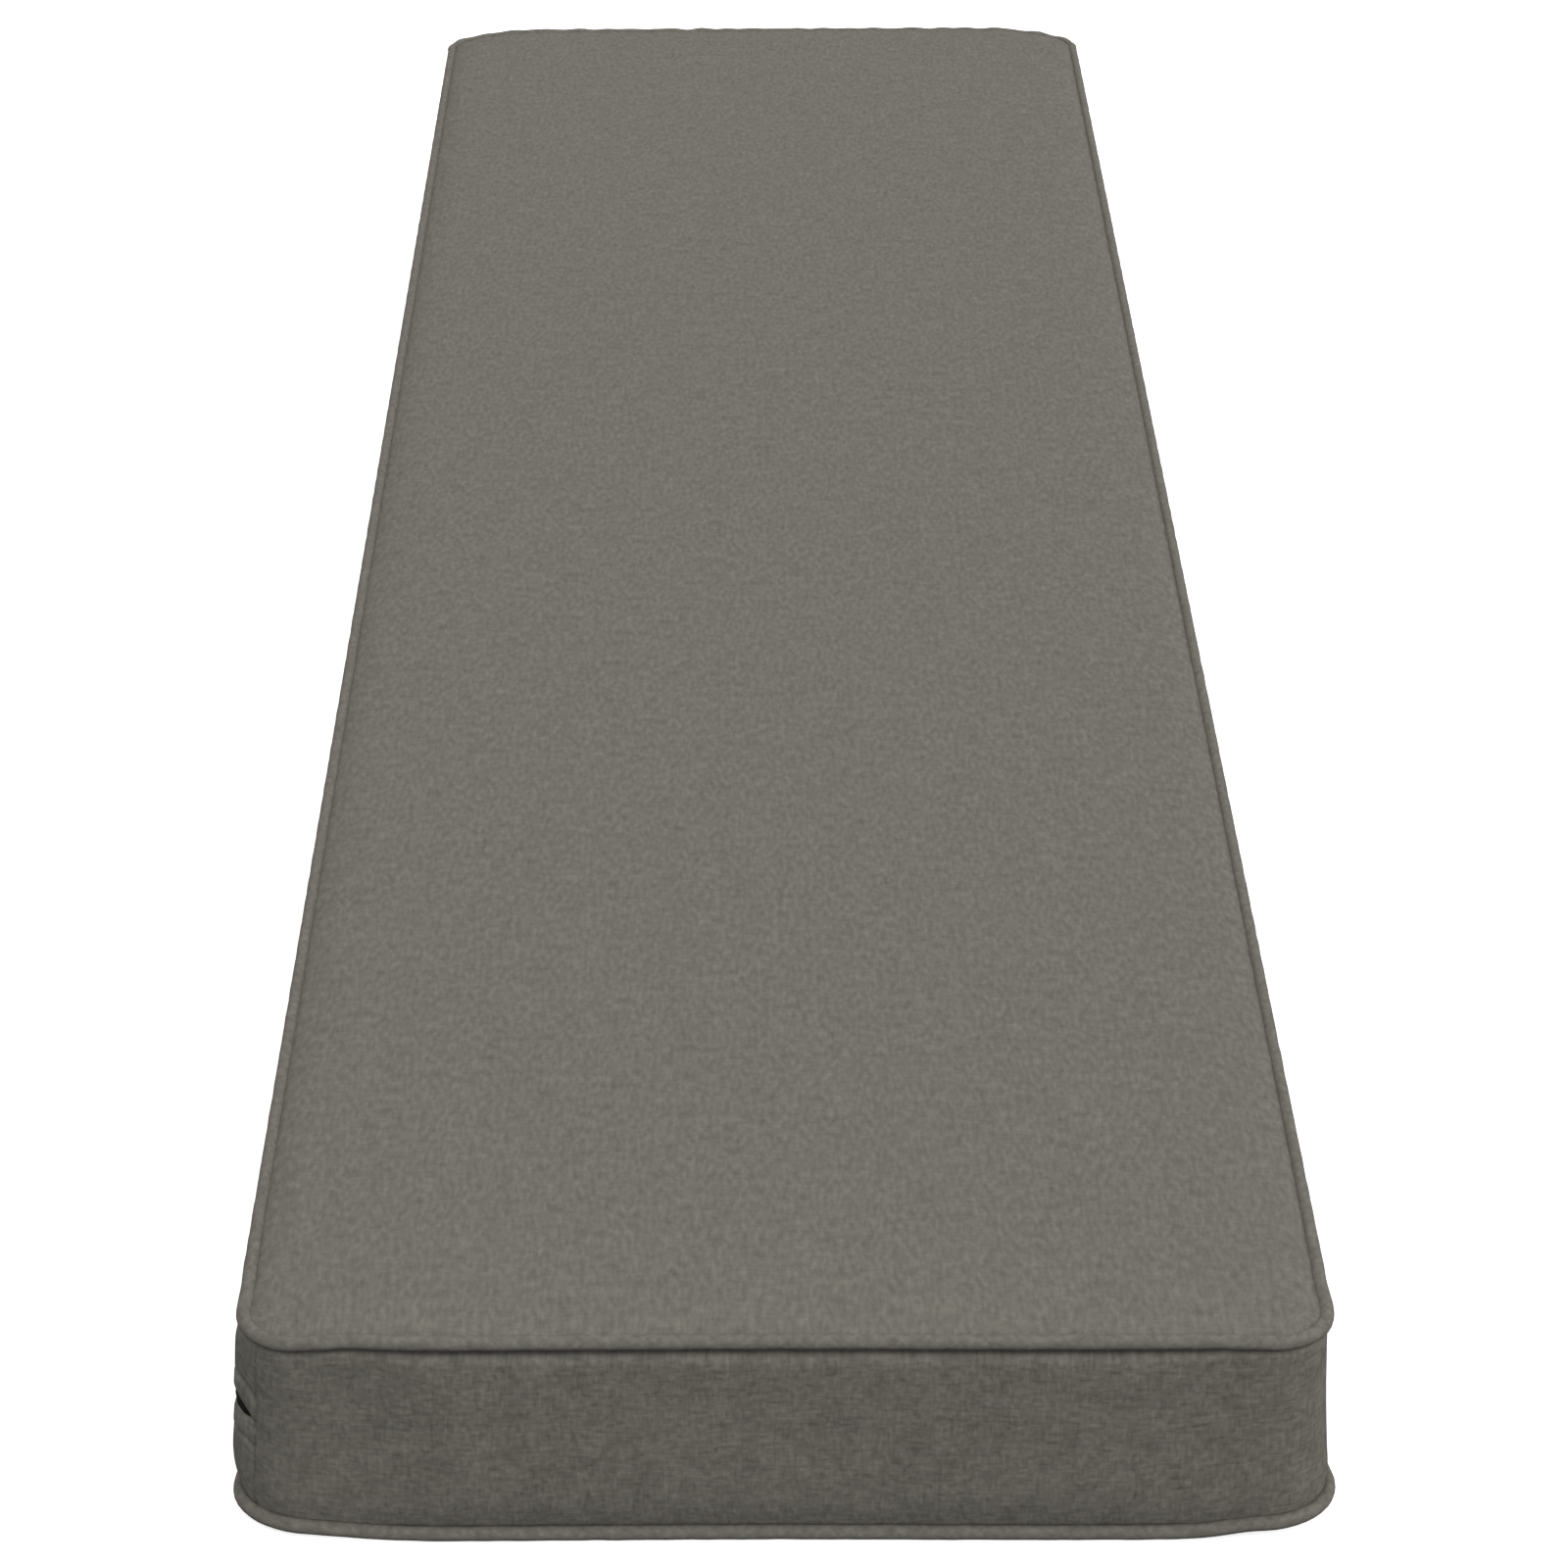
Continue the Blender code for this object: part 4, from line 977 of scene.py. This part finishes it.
class CushionSizes(bpy.types.PropertyGroup):
    """Sizes of the cushion."""

    length: FloatProperty(name="Length", description="Over the bottom welt", default=1.524, unit="LENGTH")
    width: FloatProperty(name="Width", description="Over the bottom welt", default=0.457, unit="LENGTH")
    seam_spacing: FloatProperty(
        name="Seam spacing", description="From the bottom seam up to the top one", default=0.0952, unit="LENGTH",
    )
    welt_radius: FloatProperty(
        name="Welt reach", description="How far a welt reaches out from its seam", default=0.0028, unit="LENGTH",
    )
    cord_radius: FloatProperty(
        name="Cord radius", description="Radius of a welt with its cover", default=0.0032, unit="LENGTH",
    )
    corner_radius: FloatProperty(
        name="Corner radius", description="Radius of the top seam in plan", default=0.0245, unit="LENGTH",
    )
    foot_spread: FloatProperty(
        name="Foot spread", description="How far the foot stands outside the top seam", default=0.005, unit="LENGTH",
    )
    shoulder_rise: FloatProperty(
        name="Shoulder rise", description="Quick rise of the crown next to the welt", default=0.0034, unit="LENGTH",
    )
    swell_rise: FloatProperty(
        name="Swell rise", description="Slow rise of the crown towards the middle", default=0.005, unit="LENGTH",
    )
    seam_unevenness: FloatProperty(
        name="Seam unevenness", description="How far the sewn seams wander", default=0.00035, unit="LENGTH",
    )
    panel_unevenness: FloatProperty(
        name="Panel unevenness", description="Depth of the filling's soft hollows", default=0.0005, unit="LENGTH",
    )


class CushionLook(bpy.types.PropertyGroup):
    """Cloth and colours."""

    cloth_colour: FloatVectorProperty(
        name="Cloth colour", description="Middle shade of the heathered cloth", subtype="COLOR_GAMMA", size=3,
        default=(0.4245, 0.4133, 0.3850), min=0.0, max=1.0,
    )
    tape_colour: FloatVectorProperty(
        name="Tape colour", description="Zip tape", subtype="COLOR_GAMMA", size=3, default=(0.05, 0.045, 0.04),
        min=0.0, max=1.0,
    )
    thread_pitch: FloatProperty(
        name="Thread pitch", description="From thread to thread", default=0.00072, unit="LENGTH", precision=5,
    )
    sheen: FloatProperty(name="Fuzz sheen", description="Light caught by the fuzz", default=0.02, subtype="FACTOR")


class CushionStage(bpy.types.PropertyGroup):
    """Light and camera."""

    room_light: FloatProperty(name="Room light", description="Strength of the white room", default=0.893)
    floor_glow: FloatProperty(name="Floor glow", description="How far the lit floor shines of its own", default=0.65)
    ground_light: FloatProperty(name="Ground light", description="Strength of the light from below", default=0.02)
    front_light: FloatProperty(name="Front light", description="Strength of the front light", default=0.93)
    softness: FloatProperty(
        name="Softness", description="How wide both lights are", default=math.radians(45), subtype="ANGLE",
    )
    front_from: FloatVectorProperty(
        name="Front from", description="Where the front light comes from", size=3, subtype="XYZ",
        default=(0.75, -1.0, 0.88),
    )
    side_light: FloatProperty(name="Side light", description="Strength of the light from the right", default=0.45)
    side_from: FloatVectorProperty(
        name="Side from", description="Where the side light comes from", size=3, subtype="XYZ",
        default=(1.0, -0.15, 0.42),
    )
    lens: FloatProperty(name="Lens", description="Focal length", default=94.67, unit="CAMERA")
    camera_place: FloatVectorProperty(
        name="Camera place", description="Where the camera stands", size=3, subtype="TRANSLATION",
        default=(-0.0146, -2.0731, 1.1359),
    )
    camera_tilt: FloatProperty(
        name="Camera tilt", description="Downwards from level", default=math.radians(30.474), subtype="ANGLE",
    )
    camera_turn: FloatProperty(
        name="Camera turn", description="To the right of the length", default=math.radians(0.613), subtype="ANGLE",
    )


# Operators


class MakeBody(bpy.types.Operator):
    """Make the filled body with its boxing band"""

    bl_idname = "cushion.make_body"
    bl_label = "Body and band"

    def execute(self, context):
        make_body()
        return {"FINISHED"}


class MakePanels(bpy.types.Operator):
    """Make the crowned top panel and the flat bottom panel"""

    bl_idname = "cushion.make_panels"
    bl_label = "Panels"

    def execute(self, context):
        make_panel("top_panel_cloth", "top_panel", PANEL_EDGE, top_seam() + PANEL_START, 0.0046, 1)
        make_panel("bottom_panel_cloth", "bottom_panel", bottom_seam(), 0.0, 0.0100, -1)
        return {"FINISHED"}


class MakeWelts(bpy.types.Operator):
    """Make the covered cords in the top and bottom seams"""

    bl_idname = "cushion.make_welts"
    bl_label = "Welts"

    def execute(self, context):
        make_welt("top_welt_cord", "top_welt", top_seam(), 41)
        make_welt("bottom_welt_cord", "bottom_welt", bottom_seam(), 43)
        return {"FINISHED"}


class MakeZip(bpy.types.Operator):
    """Make the zip's folded strips, its tape and the topstitching"""

    bl_idname = "cushion.make_zip"
    bl_label = "Zip placket"

    def execute(self, context):
        make_strip("zip_strip_upper_cloth", "zip_strip_upper", True)
        make_strip("zip_strip_lower_cloth", "zip_strip_lower", False)
        make_tape()
        make_stitching()
        return {"FINISHED"}


class MakeStage(bpy.types.Operator):
    """Make the floor, the lights and the camera"""

    bl_idname = "cushion.make_stage"
    bl_label = "Stage"

    def execute(self, context):
        make_stage()
        return {"FINISHED"}


class CushionPanel(bpy.types.Panel):
    """Lists the cushion's settings and steps in the sidebar"""

    bl_idname = "VIEW3D_PT_cushion"
    bl_label = "Bench Cushion"
    bl_space_type = "VIEW_3D"
    bl_region_type = "UI"
    bl_category = "Cushion"

    def draw(self, context):
        layout = self.layout
        for group in (context.scene.cushion_sizes, context.scene.cushion_look, context.scene.cushion_stage):
            box = layout.box()
            for name in group.__annotations__:
                box.prop(group, name)
        for step in STEPS:
            layout.operator(step.bl_idname)


SETTINGS = (("cushion_sizes", CushionSizes), ("cushion_look", CushionLook), ("cushion_stage", CushionStage))
STEPS = (MakeBody, MakePanels, MakeWelts, MakeZip, MakeStage)


def register():
    for name, group in SETTINGS:
        bpy.utils.register_class(group)
        setattr(bpy.types.Scene, name, PointerProperty(type=group))
    for item in STEPS + (CushionPanel,):
        bpy.utils.register_class(item)


def unregister():
    for item in reversed(STEPS + (CushionPanel,)):
        bpy.utils.unregister_class(item)
    for name, group in reversed(SETTINGS):
        delattr(bpy.types.Scene, name)
        bpy.utils.unregister_class(group)


def main():
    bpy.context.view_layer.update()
    register()
    bpy.ops.cushion.make_body()
    bpy.ops.cushion.make_panels()
    bpy.ops.cushion.make_welts()
    bpy.ops.cushion.make_zip()
    bpy.ops.cushion.make_stage()


if __name__ == "__main__":
    main()
